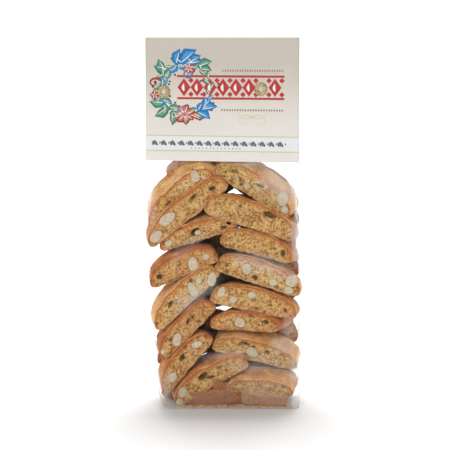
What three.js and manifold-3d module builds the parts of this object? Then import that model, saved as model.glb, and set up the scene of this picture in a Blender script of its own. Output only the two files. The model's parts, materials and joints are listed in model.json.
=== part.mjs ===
// A clear bag of almond biscotti, closed by a folded header card and two brass eyelets.
// Millimetres, +Z up, the front faces -Y, and the origin is at the middle of the base.
//
// The filled bag is one solid out to its film: a flat base, four sides that the stacked
// biscotti press outwards, a shoulder that draws in to a neck, and a flat fin on top.
// The card is folded over the fin, and the eyelets hold card and fin together.

import * as THREE from "three";
import { mergeVertices } from "three/addons/utils/BufferGeometryUtils.js";
import Module from "manifold-3d";

const wasm = await Module();
wasm.setup();

// Driving dimensions

const FIN_HALF_THICKNESS = 0.6;
const FIN_FROM_Z = 236;
const FIN_TOP_Z = 286;

// How the bag's outline changes with height: height, left side, right side, half the depth
// and the radius of the upright corners. The first row is the base, the last is the fin's edge.
const BAG_STATIONS = [
  [0, -47, 58.5, 20.5, 6],
  [4, -51, 60.5, 22.3, 8],
  [15, -54, 61, 23, 9],
  [42, -56, 60.5, 23.5, 9],
  [72, -58, 62, 24, 9],
  [100, -58.5, 60.5, 24, 9],
  [136, -60, 59, 24, 9],
  [163, -58.5, 57.5, 23.5, 9],
  [177, -57, 54, 22.2, 9],
  [186, -53.5, 48, 18.8, 9],
  [196, -48, 37, 11.6, 7],
  [205, -49, 36, 7.4, 5],
  [215, -53, 38, 3.6, 3],
  [226, -56, 40, 1.1, 1],
  [FIN_FROM_Z, -56, 40, FIN_HALF_THICKNESS, 0.5],
  [FIN_TOP_Z, -56, 40, FIN_HALF_THICKNESS, 0.5],
];

// The stack shows through the film as ridges, which rise to the middle from both sides.
const STACK_MIDDLE_X = -6;
const RIDGE_HEIGHT = 0.9;
const RIDGE_PITCH = 23;
const LEFT_RIDGE_SLOPE = Math.tan(THREE.MathUtils.degToRad(35));
const RIGHT_RIDGE_SLOPE = Math.tan(THREE.MathUtils.degToRad(15));
const RIDGES_FROM_Z = 8;
const RIDGES_TO_Z = 180;

const CARD_LEFT = -62;
const CARD_RIGHT = 58;
const CARD_TOP = 292.5;
const CARD_HEIGHT = 96;
const CARD_THICKNESS = 0.5;
const CARD_SPLAY = 11.5; // how far each panel stands out at its lower edge
const CARD_BENDS_BELOW = FIN_FROM_Z;
const CARD_BEND_POWER = 1.7; // above 1, so that the panels leave the fin smoothly
const CARD_SKEW = 1; // the lower edge is this much lower on the right, and higher on the left

const EYELETS = {
  eyelet_left: [-48, 250],
  eyelet_right: [28, 252],
};
const EYELET_HOLE_RADIUS = 2.1;
const EYELET_BARREL_RADIUS = 2.8;
const EYELET_FLANGE_RADIUS = 5;
const EYELET_LIP = 0.9;
const EYELET_THROAT_ROUNDING = 0.3;
const EYELET_SIDES = 28;

const GAP = 0.3; // between pieces that rest on each other

// Materials

const FILM = new THREE.MeshStandardMaterial({
  color: 0xf4f1ee,
  roughness: 0.12,
  metalness: 0,
  transparent: true,
  opacity: 0.3,
});
const CARD = new THREE.MeshStandardMaterial({ color: 0xdad4c8, roughness: 0.85, metalness: 0 });
const BRASS = new THREE.MeshStandardMaterial({ color: 0xad9c7d, roughness: 0.35, metalness: 1 });

// Solids

function solidOf(geometry) {
  const bare = geometry.clone();
  bare.deleteAttribute("normal");
  bare.deleteAttribute("uv");
  const merged = mergeVertices(bare, 1e-4);
  return new wasm.Manifold(
    new wasm.Mesh({
      numProp: 3,
      vertProperties: merged.attributes.position.array,
      triVerts: new Uint32Array(merged.index.array),
    }),
  );
}

function geometryOf(solid) {
  const { numProp, vertProperties, triVerts } = solid.getMesh();
  const points = [];
  for (let at = 0; at < vertProperties.length; at += numProp) {
    points.push(vertProperties[at], vertProperties[at + 1], vertProperties[at + 2]);
  }
  const geometry = new THREE.BufferGeometry();
  geometry.setAttribute("position", new THREE.Float32BufferAttribute(points, 3));
  geometry.setIndex(new THREE.BufferAttribute(triVerts, 1));
  geometry.computeVertexNormals();
  return geometry;
}

// Holes for the eyelets' barrels, through anything near the middle plane.
function withEyeletHoles(geometry) {
  const radius = EYELET_BARREL_RADIUS + GAP;
  const reach = 4 * CARD_SPLAY;
  let solid = solidOf(geometry);
  for (const [x, z] of Object.values(EYELETS)) {
    const drill = new THREE.CylinderGeometry(radius, radius, reach, EYELET_SIDES);
    drill.translate(x, 0, z);
    solid = solid.subtract(solidOf(drill));
  }
  return geometryOf(solid);
}

// A closed skin over rings of points, each ring with as many points as the next.
function skinOver(rings) {
  const around = rings[0].length;
  const points = rings.flat();
  const faces = [];
  for (let ring = 0; ring + 1 < rings.length; ring++) {
    for (let i = 0; i < around; i++) {
      const a = ring * around + i;
      const b = ring * around + ((i + 1) % around);
      faces.push(a, b, b + around, a, b + around, a + around);
    }
  }
  const lids = [
    [0, 1],
    [(rings.length - 1) * around, -1],
  ];
  for (const [start, side] of lids) {
    const outline = rings[start / around].map((p) => new THREE.Vector2(p.x, p.y));
    for (const [a, b, c] of THREE.ShapeUtils.triangulateShape(outline, [])) {
      faces.push(start + a, start + (side > 0 ? c : b), start + (side > 0 ? b : c));
    }
  }
  const geometry = new THREE.BufferGeometry().setFromPoints(points);
  geometry.setIndex(faces);
  return geometry;
}

// The bag

const stationHeights = BAG_STATIONS.map((row) => row[0]);
const stationSizes = BAG_STATIONS.flatMap((row) => row.slice(1));
const stations = new THREE.CubicInterpolant(stationHeights, stationSizes, 4);

// A rounded rectangle's outline, anticlockwise from the front left corner. Every section has
// the same number of steps along each side and each corner, so that the skin runs straight.
function roundedRectangle(left, right, halfDepth, radius) {
  const alongFront = 17;
  const alongSide = 6;
  const alongCorner = 3;
  const corners = [
    [left + radius, -halfDepth + radius, Math.PI, alongFront],
    [right - radius, -halfDepth + radius, -Math.PI / 2, alongSide],
    [right - radius, halfDepth - radius, 0, alongFront],
    [left + radius, halfDepth - radius, Math.PI / 2, alongSide],
  ];
  const outline = [];
  corners.forEach(([x, y, startAngle, steps], which) => {
    for (let i = 0; i <= alongCorner; i++) {
      const angle = startAngle + (i / alongCorner) * (Math.PI / 2);
      outline.push(
        new THREE.Vector2(x + radius * Math.cos(angle), y + radius * Math.sin(angle)),
      );
    }
    const [nextX, nextY, nextAngle] = corners[(which + 1) % corners.length];
    const from = outline[outline.length - 1];
    const to = new THREE.Vector2(
      nextX + radius * Math.cos(nextAngle),
      nextY + radius * Math.sin(nextAngle),
    );
    for (let i = 1; i < steps; i++) {
      outline.push(from.clone().lerp(to, i / steps));
    }
  });
  return outline;
}

// How far the stack presses the film out at a place on the bag.
function ridge(x, z) {
  const fromMiddle = Math.abs(x - STACK_MIDDLE_X);
  const slope = x < STACK_MIDDLE_X ? LEFT_RIDGE_SLOPE : RIGHT_RIDGE_SLOPE;
  const phase = (z + fromMiddle * slope) / RIDGE_PITCH;
  const fade =
    THREE.MathUtils.smoothstep(z, 0, RIDGES_FROM_Z) *
    (1 - THREE.MathUtils.smoothstep(z, RIDGES_TO_Z - RIDGE_PITCH, RIDGES_TO_Z));
  return RIDGE_HEIGHT * fade * Math.cos(2 * Math.PI * phase);
}

function bagRing(z) {
  const [left, right, halfDepth, radius] = stations.evaluate(z);
  return roundedRectangle(left, right, halfDepth, radius).map(({ x, y }) => {
    const press = ridge(x, z);
    const outX = x - (left + right) / 2;
    const out = new THREE.Vector2(outX / (right - left), y / (2 * halfDepth)).normalize();
    return new THREE.Vector3(x + press * out.x, y + press * out.y, z);
  });
}

// The heights of the rings: close together over the ridges and the shoulder, and few in the fin.
function bagHeights() {
  const foot = [0, 1.5, 4];
  const bodyFrom = 10;
  const bodyStep = RIDGE_PITCH / 4;
  const shoulderFrom = 177;
  const shoulderStep = 4.5;
  const heights = [...foot];
  for (let z = bodyFrom; z < shoulderFrom - 1; z += bodyStep) {
    heights.push(z);
  }
  for (let z = shoulderFrom; z < FIN_FROM_Z; z += shoulderStep) {
    heights.push(z);
  }
  heights.push(FIN_FROM_Z, (FIN_FROM_Z + FIN_TOP_Z) / 2, FIN_TOP_Z);
  return heights;
}

function bag() {
  const body = skinOver(bagHeights().map(bagRing));
  return new THREE.Mesh(withEyeletHoles(body), FILM);
}

// The header card

// How far the middle of the card's thickness stands from the middle plane.
function panelOffset(z) {
  const flat = FIN_HALF_THICKNESS + GAP + CARD_THICKNESS / 2;
  const share = Math.max(0, (CARD_BENDS_BELOW - z) / (CARD_BENDS_BELOW - CARD_TOP + CARD_HEIGHT));
  return flat + CARD_SPLAY * share ** CARD_BEND_POWER;
}

// The card's middle line from the fold down the front, in y and z.
function panelLine() {
  const fold = panelOffset(CARD_TOP);
  const line = [];
  const foldSteps = 5;
  for (let i = 0; i < foldSteps; i++) {
    const angle = (i / foldSteps) * (Math.PI / 2);
    line.push([
      -fold * Math.sin(angle),
      CARD_TOP - CARD_THICKNESS / 2 - fold * (1 - Math.cos(angle)),
    ]);
  }
  const bottom = CARD_TOP - CARD_HEIGHT;
  const bendSteps = 12;
  line.push([-fold, CARD_TOP - CARD_THICKNESS / 2 - fold], [-fold, CARD_BENDS_BELOW]);
  for (let i = 1; i <= bendSteps; i++) {
    const z = THREE.MathUtils.lerp(CARD_BENDS_BELOW, bottom, i / bendSteps);
    line.push([-panelOffset(z), z]);
  }
  return line;
}

function cardProfile() {
  const front = panelLine();
  const back = front
    .slice(1)
    .reverse()
    .map(([y, z]) => [-y, z]);
  const middle = [...back, ...front].map(([y, z]) => new THREE.Vector2(y, z));
  const outer = [];
  const inner = [];
  middle.forEach((point, i) => {
    const before = middle[Math.max(i - 1, 0)];
    const after = middle[Math.min(i + 1, middle.length - 1)];
    const along = after.clone().sub(before).normalize();
    const across = new THREE.Vector2(along.y, -along.x).multiplyScalar(CARD_THICKNESS / 2);
    outer.push(point.clone().add(across));
    inner.push(point.clone().sub(across));
  });
  return new THREE.Shape([...outer, ...inner.reverse()]);
}

function headerCard() {
  const width = CARD_RIGHT - CARD_LEFT;
  const card = new THREE.ExtrudeGeometry(cardProfile(), {
    depth: width,
    steps: 4,
    bevelEnabled: false,
  });
  const toRowAxes = new THREE.Matrix4().makeBasis(
    new THREE.Vector3(0, 1, 0),
    new THREE.Vector3(0, 0, 1),
    new THREE.Vector3(1, 0, 0),
  );
  card.applyMatrix4(toRowAxes);
  card.translate(CARD_LEFT, 0, 0);
  const places = card.attributes.position;
  const middleX = (CARD_LEFT + CARD_RIGHT) / 2;
  for (let i = 0; i < places.count; i++) {
    const across = (places.getX(i) - middleX) / (width / 2);
    const down = (CARD_TOP - places.getZ(i)) / CARD_HEIGHT;
    places.setZ(i, places.getZ(i) - CARD_SKEW * across * down);
  }
  return new THREE.Mesh(withEyeletHoles(card), CARD);
}

// The eyelets

// A barrel through card and fin, with a domed flange at the front and a rolled one at the back.
function eyelet(x, z) {
  const face = panelOffset(CARD_TOP) + CARD_THICKNESS / 2 + GAP;
  const lip = face + EYELET_LIP;
  const throat = EYELET_HOLE_RADIUS + EYELET_THROAT_ROUNDING;
  const rise = face + EYELET_LIP / 2;
  const half = [
    [EYELET_HOLE_RADIUS, 0],
    [EYELET_HOLE_RADIUS, rise],
    [throat, lip],
    [(throat + EYELET_FLANGE_RADIUS) / 2, lip],
    [EYELET_FLANGE_RADIUS, rise],
    [EYELET_FLANGE_RADIUS, face],
    [EYELET_BARREL_RADIUS, face],
  ];
  const mirrored = half
    .slice(1)
    .reverse()
    .map(([radius, height]) => [radius, -height]);
  const profile = [...half, ...mirrored, half[0]].map(
    ([radius, height]) => new THREE.Vector2(radius, height),
  );
  const mesh = new THREE.Mesh(new THREE.LatheGeometry(profile.reverse(), EYELET_SIDES), BRASS);
  mesh.position.set(x, 0, z);
  return mesh;
}

// The object

const bagOfBiscotti = new THREE.Group();

function place(name, mesh) {
  mesh.name = name;
  bagOfBiscotti.add(mesh);
}

place("bag", bag());
place("header_card", headerCard());
for (const [name, [x, z]] of Object.entries(EYELETS)) {
  place(name, eyelet(x, z));
}

export default bagOfBiscotti;
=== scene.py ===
"""A clear bag of almond biscotti under a folded header card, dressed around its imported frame.

The bag stands on its flat folded bottom with the front towards -Y. Two layers of slices lie in
it, one behind the other, and in each layer a left and a right column meet in the middle.
Lengths are in metres and angles in degrees, unless a name says otherwise.
"""

import json
import math
import random
from typing import NamedTuple

import bmesh
import bpy
import numpy as np
from bpy.props import FloatProperty, FloatVectorProperty, IntProperty, PointerProperty
from mathutils import Matrix, Vector, noise
from mathutils.bvhtree import BVHTree

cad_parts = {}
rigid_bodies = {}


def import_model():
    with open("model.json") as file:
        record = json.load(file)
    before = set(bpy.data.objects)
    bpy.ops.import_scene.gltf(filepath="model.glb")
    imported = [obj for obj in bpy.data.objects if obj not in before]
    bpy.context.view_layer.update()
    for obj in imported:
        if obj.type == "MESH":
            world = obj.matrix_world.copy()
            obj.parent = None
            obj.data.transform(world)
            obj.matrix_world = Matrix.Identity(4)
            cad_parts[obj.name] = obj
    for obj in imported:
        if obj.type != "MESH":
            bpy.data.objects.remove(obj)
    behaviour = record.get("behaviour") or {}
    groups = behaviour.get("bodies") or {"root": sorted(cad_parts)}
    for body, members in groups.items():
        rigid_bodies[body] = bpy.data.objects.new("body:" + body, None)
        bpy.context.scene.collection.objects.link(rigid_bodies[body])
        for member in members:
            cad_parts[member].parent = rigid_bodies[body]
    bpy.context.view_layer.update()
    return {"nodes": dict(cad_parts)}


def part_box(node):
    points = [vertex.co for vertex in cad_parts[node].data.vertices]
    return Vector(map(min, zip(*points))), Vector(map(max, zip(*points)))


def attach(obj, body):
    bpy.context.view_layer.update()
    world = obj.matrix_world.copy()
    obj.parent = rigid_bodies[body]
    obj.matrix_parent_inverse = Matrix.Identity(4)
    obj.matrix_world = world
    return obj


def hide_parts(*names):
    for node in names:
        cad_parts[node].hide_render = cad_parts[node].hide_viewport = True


bl_info = {
    "name": "Bag of biscotti",
    "version": (1, 0, 0),
    "blender": (4, 5, 0),
    "location": "3D View > Sidebar > Biscotti",
    "description": "Fills a clear bag with almond biscotti and closes it with a header card",
    "category": "Add Mesh",
}

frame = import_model()

MM = 0.001
BODY = "root"
BAG_LOW, BAG_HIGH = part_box("bag")
CARD_LOW, CARD_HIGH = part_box("header_card")
EYELET_NODES = ("eyelet_left", "eyelet_right")

# The stack of slices


class Bit(NamedTuple):
    """A nut or a hollow in a cut face: its middle, along and up from the slice's start."""

    along: float
    up: float
    length: float
    width: float
    turn: float = 0.0
    kind: str = "nut"


class Slice(NamedTuple):
    """A slice of the baked loaf, in millimetres and degrees, as seen from the layer's own side.

    The start is the left end of the cut face's base. The slope is that of the base, roll tips
    the top towards the viewer, bias and lift are how far the far cut face lies to the right
    and up, and sunk is how far the slice lies behind its layer's face. Toast is how brown
    the slice is, from 0 to 1; below 0 it is left to chance.
    """

    x: float
    z: float
    slope: float
    length: float
    height: float
    roll: float = 0.0
    bias: float = 0.0
    thick: float = 19.0
    bits: tuple = ()
    lift: float = 0.0
    sunk: float = 0.0
    toast: float = -1.0


LEFT_COLUMN = (
    Slice(-37.5, -0.4, 30.5, 67, 19, 14, -1, 19, (
        Bit(10.2, 9.7, 10, 7.5, 50), Bit(3.6, 3.6, 7, 6, 60), Bit(31, 12.8, 9, 5, 20, "hollow"),
        Bit(36, 9, 6, 2.5, -20, "hollow"),
    ), 2, 0, 0.25),
    Slice(-45.5, 10.5, 50, 59, 17.5, 8, -1, 19, (
        Bit(47, 9, 9.5, 5.5, -30), Bit(13.9, 6.8, 9, 7.5, 10), Bit(31, 11, 7, 3.5, 20, "hollow"),
    ), 1.5, 0, 0.45),
    Slice(-47, 38, 46, 60, 18, 8, -1, 19, (
        Bit(19.5, 6, 11.5, 7, 35), Bit(4.5, 7, 5, 4, 0), Bit(36, 10, 6, 2, 30, "hollow"),
    ), 1.5, 0, 0.6),
    Slice(-51, 62, 43.5, 67, 18.5, 6, -1, 19, (
        Bit(59, 3, 12, 7, 35), Bit(42.4, 7.5, 13.5, 7, 75), Bit(51, 9.5, 6, 5, 0),
        Bit(22, 11, 7, 3, 20, "hollow"),
    ), 2.5, 0, 0.1),
    Slice(-56.5, 96.5, 23, 57, 18.5, 4, 0, 19, (
        Bit(37, 6.5, 12, 8.2, 75), Bit(48.5, 7.6, 5.5, 5, 0), Bit(9, 7.5, 5, 4, 10, "hollow"),
    ), 2, 0, 0.6),
    Slice(-50, 125, 17, 63, 17, 14, 0, 19, (
        Bit(7.9, 5.6, 7, 5.6, 30), Bit(30.5, 8.2, 8, 5.6, 40, "hollow"), Bit(32.4, 7.4, 5, 4, 10),
        Bit(53, 5, 5, 3, 0, "hollow"), Bit(58, 8, 3, 3, 0, "hollow"),
    ), 2),
    Slice(-56.5, 128.5, 38.5, 78, 18.5, 4, 0, 19, (
        Bit(24.2, 11.5, 15, 8.4, -2), Bit(8.7, 6.2, 11.5, 7.8, 8),
        Bit(50, 12, 9, 2.4, 5, "hollow"), Bit(66, 8, 6, 3, -30, "hollow"),
    ), 2),
    Slice(-56, 141, 39.5, 66, 19.5, -3, 6, 14, (
        Bit(53.5, 13.5, 10, 7, 70), Bit(24, 10, 6, 2.5, 10, "hollow"),
    ), 9.5, 4.5, 0.0),
    Slice(-45, 183, 14, 50, 12.5, -6, 0, 11, (Bit(40, 7, 9, 6, 20),), 3, 15.5),
)

RIGHT_COLUMN = (
    Slice(-33, 12.9, 2, 47, 18, -68, 0, 13.5, (), 0, 3.4, 0.7),
    Slice(-7, 24, -41, 27, 16, -64, 0, 9, (), 0, 2.6, 1.0),
    Slice(13, 13.4, -5, 37, 17, -66, 0, 11, (), 0, 0.3, 0.1),
    Slice(1.5, 11.5, -3, 53, 15.5, 27, 3, 16, (Bit(24, 4, 5, 2.5, 0, "hollow"),), 0, 0, 0.12),
    Slice(-11, 45.5, -13.5, 69, 19.5, 22, 2, 19, (
        Bit(31.5, 8, 11.5, 8.5, -30), Bit(21, 4.8, 7, 4.2, 30), Bit(43.4, 12, 4, 3, 0, "hollow"),
        Bit(24, 14.5, 9, 3, 0, "hollow"),
    ), 0, 0, 0.1),
    Slice(-12, 64, -2, 54, 16, 5, 12, 19, (
        Bit(23.6, 7, 9, 8, -40), Bit(43.5, 8.2, 4.5, 3.4, 0, "hollow"),
    ), 1),
    Slice(-12.5, 86, -12, 69, 19.5, 2, 4, 19, (
        Bit(7.6, 10.6, 9.4, 6, 78), Bit(18.1, 6.6, 6.5, 5.6, 40), Bit(31.6, 13, 7, 6, 20),
    ), 0, 0, 0.35),
    Slice(-8.5, 111.5, -18, 69, 20, 1, 2, 19, (
        Bit(23.8, 9.1, 9.4, 7.4, -60), Bit(46.9, 5.6, 7, 6, 20), Bit(60.2, 11.6, 11.5, 9.5, 60),
        Bit(60.4, 3.4, 7.6, 6, 0), Bit(32.1, 5.1, 5, 3, 0, "hollow"),
    ), 0, 0, 0.2),
    Slice(-5, 132, -16, 58, 18, 2, 8, 19, (Bit(50, 8.5, 4.4, 2.6, -20, "hollow"),), 0, 0, 0.3),
    Slice(
        -17.3, 157, -18.4, 74, 21.5, 1, 5, 19, (Bit(50, 15, 12, 4.4, 4, "hollow"),), 0, 0, 0.3
    ),
    Slice(-11, 187.5, -32, 70, 18.5, -7, 3, 14, (
        Bit(58.5, 12.6, 12, 9.5, -60), Bit(64.3, 5.8, 7, 6, 0), Bit(29.5, 6.3, 5.6, 4.4, 0),
        Bit(38, 11.5, 7.6, 2.4, 10, "hollow"),
    ), 9.5, 7.5, 0.0),
)

FRONT_Y = -22.3 * MM
BACK_Y = 21.8 * MM
MOST_YAW = 2.5  # degrees that a slice may lie askew
BACK_SEED = 94


def back_columns():
    """The layer behind, seen from the back: two columns laid by the same habit, unevenly."""
    rng = random.Random(BACK_SEED)
    slices = [
        Slice(-45, 12, 1, 47, 19, -72, 0, 11, (), 0, 1, 0.4),
        Slice(4, 11, -2, 46, 19, -80, 0, 9, (), 0, 2, 0.8),
    ]
    for level in range(9):
        rise = 9.0 + 18.6 * level
        slices.append(Slice(
            -54 + rng.uniform(0, 3), rise + rng.uniform(-2, 2), 30 + rng.uniform(-6, 5),
            55 + rng.uniform(0, 7), 17 + rng.uniform(0, 3), rng.uniform(0, 8),
            -2, rng.uniform(16.5, 19), scattered_bits(rng, 58, 17), 2,
        ))
        slices.append(Slice(
            -9 + rng.uniform(-6, 5), rise + 13 + rng.uniform(-2, 2), -17 + rng.uniform(-5, 5),
            56 + rng.uniform(0, 6), 17 + rng.uniform(0, 3), rng.uniform(0, 8),
            2, rng.uniform(16.5, 19), scattered_bits(rng, 58, 17), 2,
        ))
    return tuple(slices)


def scattered_bits(rng, length, height):
    """A few nuts and hollows over a cut face, well apart along it."""
    bits = []
    for _ in range(rng.choice((2, 3, 3, 4, 5))):
        along = rng.uniform(0.12, 0.88) * length
        up = rng.uniform(0.3, 0.62) * height
        if any(abs(along - other.along) < 10 for other in bits):
            continue
        kind = "nut" if rng.random() < 0.8 else "hollow"
        size = rng.uniform(7, 12) if kind == "nut" else rng.uniform(4, 7)
        share = rng.uniform(0.58, 0.8) if kind == "nut" else 0.5
        bits.append(Bit(along, up, size, size * share, rng.uniform(-80, 80), kind))
    return tuple(bits)


# Building blocks


def smooth_step(low, high, value):
    share = np.clip((value - low) / (high - low), 0, 1)
    return share * share * (3 - 2 * share)


def shade(red, green, blue):
    """A screen colour, 0 to 255, as the linear numbers that a shader takes."""
    def linear(level):
        level /= 255
        return level / 12.92 if level <= 0.04045 else ((level + 0.055) / 1.055) ** 2.4

    return linear(red), linear(green), linear(blue)


def mesh_from(name, points, faces):
    mesh = bpy.data.meshes.new(name)
    mesh.from_pydata([tuple(point) for point in points], [], faces)
    mesh.validate()
    mesh.update()
    mesh.shade_smooth()
    return mesh


def store(mesh, name, values):
    """One number for each point, for a material or a node tree to read."""
    attribute = mesh.attributes.new(name, "FLOAT", "POINT")
    attribute.data.foreach_set("value", np.asarray(values, np.float32))


def put(name, mesh, material=None):
    piece = bpy.data.objects.new(name, mesh)
    bpy.context.scene.collection.objects.link(piece)
    if material is not None:
        mesh.materials.clear()
        mesh.materials.append(material)
    return piece


def belongs(piece, slot, *nodes):
    """The piece rides on the bag and may stand for CAD nodes, which it hides. Its slot is not used.
    """
    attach(piece, BODY)
    if nodes:
        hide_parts(*nodes)
    return piece


# Node trees


def node(tree, kind, inputs=None, **settings):
    """A node with its settings, and its inputs by name or number as values or other outputs."""
    made = tree.nodes.new(kind)
    for name, value in settings.items():
        setattr(made, name, value)
    for key, value in (inputs or {}).items():
        socket = made.inputs[key]
        if isinstance(value, bpy.types.NodeSocket):
            tree.links.new(value, socket)
        else:
            socket.default_value = value
    return made


def maths(tree, operation, a, b=0.0, clamp=False):
    made = node(tree, "ShaderNodeMath", {0: a, 1: b}, operation=operation, use_clamp=clamp)
    return made.outputs[0]


def vector(tree, operation, a, b=(0.0, 0.0, 0.0)):
    made = node(tree, "ShaderNodeVectorMath", {0: a, 1: b}, operation=operation)
    return made.outputs[0]


def scaled(tree, direction, length):
    made = node(tree, "ShaderNodeVectorMath", {0: direction, 3: length}, operation="SCALE")
    return made.outputs[0]


def between(tree, value, low, high, to_low=0.0, to_high=1.0):
    """A smooth step from one number to another as a value passes from low to high."""
    made = node(
        tree, "ShaderNodeMapRange",
        {"Value": value, "From Min": low, "From Max": high, "To Min": to_low, "To Max": to_high},
        interpolation_type="SMOOTHSTEP",
    )
    return made.outputs[0]


def cloud(tree, place, size, detail=2.0, rough=0.5):
    """Noise from 0 to 1, whose blots are about as large as size."""
    made = node(
        tree, "ShaderNodeTexNoise",
        {"Vector": place, "Scale": 1 / size, "Detail": detail, "Roughness": rough},
    )
    return made.outputs["Fac"]


def cells(tree, place, size, smooth=False):
    """Distance from the middle of the nearest cell, and that cell's own random colour."""
    made = node(
        tree, "ShaderNodeTexVoronoi", {"Vector": place, "Scale": 1 / size},
        feature="SMOOTH_F1" if smooth else "F1",
    )
    return made.outputs["Distance"], made.outputs["Color"]


def first_of(tree, colour):
    """The red of a colour, as one random number of a cell."""
    kind = "FunctionNode" if tree.type == "GEOMETRY" else "ShaderNode"
    return node(tree, kind + "SeparateColor", {0: colour}).outputs[0]


def shape_tree(name, sizes):
    """A new geometry tree with a mesh going in and out, and one named input for each size."""
    tree = bpy.data.node_groups.new(name, "GeometryNodeTree")
    face = tree.interface
    face.new_socket(name="Geometry", in_out="INPUT", socket_type="NodeSocketGeometry")
    for size_name, kind in sizes.items():
        face.new_socket(name=size_name, in_out="INPUT", socket_type=kind)
    face.new_socket(name="Geometry", in_out="OUTPUT", socket_type="NodeSocketGeometry")
    entry = tree.nodes.new("NodeGroupInput")
    return tree, entry.outputs


def close_tree(tree, geometry, material):
    """Every tree ends in real meshes that carry their material."""
    real = node(tree, "GeometryNodeRealizeInstances", {"Geometry": geometry})
    dressed = node(
        tree, "GeometryNodeSetMaterial", {"Geometry": real.outputs[0], "Material": material}
    )
    leave = tree.nodes.new("NodeGroupOutput")
    tree.links.new(dressed.outputs[0], leave.inputs[0])


def grown(piece, tree, sizes):
    """Runs a tree on a piece and keeps the result as its plain mesh."""
    modifier = piece.modifiers.new(tree.name, "NODES")
    modifier.node_group = tree
    for item in tree.interface.items_tree:
        if item.in_out == "INPUT" and item.name in sizes:
            modifier[item.identifier] = sizes[item.name]
    seen = piece.evaluated_get(bpy.context.evaluated_depsgraph_get())
    result = bpy.data.meshes.new_from_object(seen)
    piece.modifiers.remove(modifier)
    piece.data = result
    result.name = piece.name
    return piece


def paint(name):
    """A new material, with its tree, its shader and the place of each point on the piece."""
    material = bpy.data.materials.new(name)
    material.use_nodes = True
    tree = material.node_tree
    tree.nodes.clear()
    shader = node(tree, "ShaderNodeBsdfPrincipled")
    output = node(tree, "ShaderNodeOutputMaterial", {"Surface": shader.outputs[0]})
    place = node(tree, "ShaderNodeTexCoord").outputs["Object"]
    return material, tree, shader, output, place


def kept(tree, name):
    """A number that the mesh keeps for each point."""
    return node(tree, "ShaderNodeAttribute", attribute_name=name).outputs["Fac"]


def blended(tree, share, a, b, kind="MIX"):
    made = node(
        tree, "ShaderNodeMix", {0: share, 6: a, 7: b}, data_type="RGBA", blend_type=kind
    )
    return made.outputs[2]


def bumped(tree, shader, height, distance, strength=1.0):
    made = node(
        tree, "ShaderNodeBump",
        {"Height": height, "Distance": distance, "Strength": strength},
    )
    tree.links.new(made.outputs[0], shader.inputs["Normal"])


def solid_colour(rgb):
    return (*rgb, 1.0)


# Slices

COLUMNS = 100  # steps along a cut face
ROWS = 28  # steps up the cut face that shows
PLAIN_ROWS = 7  # and up the one that lies inside the stack
DEPTH_STEPS = 16
TIP_HEIGHT = 0.2  # where the two crusts meet, as a share of the slice's height
TIP_ROUNDING = 6.0  # mm of the base that curls up to a tip
BLUNT = 2.9  # how square the end is that was cut from the loaf's middle
TAPERED = 2.0
EDGE_ROUNDING = 0.6  # mm


def slice_outline(one, seed):
    """Distances along a slice, and its lower and upper edge there, in millimetres."""
    share = (1 - np.cos(np.linspace(0, np.pi, COLUMNS + 1))) / 2
    along = share * one.length
    tip = TIP_HEIGHT * one.height
    first, last = (TAPERED, BLUNT) if one.slope > 0 else (BLUNT, TAPERED)
    power = np.where(share < 0.5, first, last)
    reach = np.abs(2 * share - 1)
    dome = (1 - reach**power) ** (1 / power)
    from_end = np.minimum(along, one.length - along)
    curl = np.clip(1 - from_end / TIP_ROUNDING, 0, 1)
    low = tip * (1 - np.sqrt(1 - curl**2))
    high = tip + (one.height - tip) * dome
    sway = np.array([uneven(a, seed) for a in along])
    room = np.sqrt(4 * share * (1 - share))
    return along, low + 0.75 * sway[:, 0] * room, high + 1.1 * sway[:, 1] * room


def uneven(along, seed):
    """Two smooth waverings for the lower and the upper edge of a slice."""
    def wave(row, size):
        return noise.noise(Vector((along / size, 7.3 * seed, row)))

    lower = wave(0.5, 14) + 0.65 * wave(1.5, 4) + 0.75 * wave(4.5, 1.9)
    upper = wave(2.5, 16) + 0.45 * wave(3.5, 5) + 0.25 * wave(5.5, 2.1)
    return lower, upper


def grid_numbers(first, rows):
    """Point numbers of a cut face by column and row. The tips are one point each."""
    numbers = np.zeros((COLUMNS + 1, rows + 1), int)
    numbers[1:-1] = first + 1 + np.arange((COLUMNS - 1) * (rows + 1)).reshape(COLUMNS - 1, -1)
    numbers[0] = first
    numbers[-1] = numbers[-2, -1] + 1
    return numbers


def rim_of(numbers):
    """The point numbers round a cut face, first along the base and back over the top."""
    return np.concatenate([numbers[:, 0], numbers[-2:0:-1, -1]])


def slice_faces():
    """Faces of a slice: the cut face that shows, the plain one, and the crust between them."""
    shown = grid_numbers(0, ROWS)
    plain = grid_numbers(shown.max() + 1, PLAIN_ROWS)
    rim = rim_of(shown)
    between_rims = plain.max() + 1 + np.arange((DEPTH_STEPS - 1) * len(rim))
    loops = [rim, *between_rims.reshape(DEPTH_STEPS - 1, -1), rim_of(plain)]
    quads = []
    for numbers, outward in ((shown, 1), (plain, -1)):
        corners = (numbers[:-1, :-1], numbers[1:, :-1], numbers[1:, 1:], numbers[:-1, 1:])
        quads.append(np.stack(corners[::outward], -1).reshape(-1, 4))
    for near, far in zip(loops, loops[1:]):
        quads.append(np.stack([near, far, np.roll(far, -1), np.roll(near, -1)], -1))
    return [tuple(dict.fromkeys(quad)) for quad in np.concatenate(quads).tolist()]


def over_bit(bit, along, up):
    """How far a place on a cut face is from the middle of a nut or hollow; its edge is 1."""
    turn = math.radians(bit.turn)
    across, above = along - bit.along, up - bit.up
    lengthways = across * math.cos(turn) + above * math.sin(turn)
    sideways = above * math.cos(turn) - across * math.sin(turn)
    return np.hypot(lengthways / (bit.length / 2), sideways / (bit.width / 2))


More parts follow.
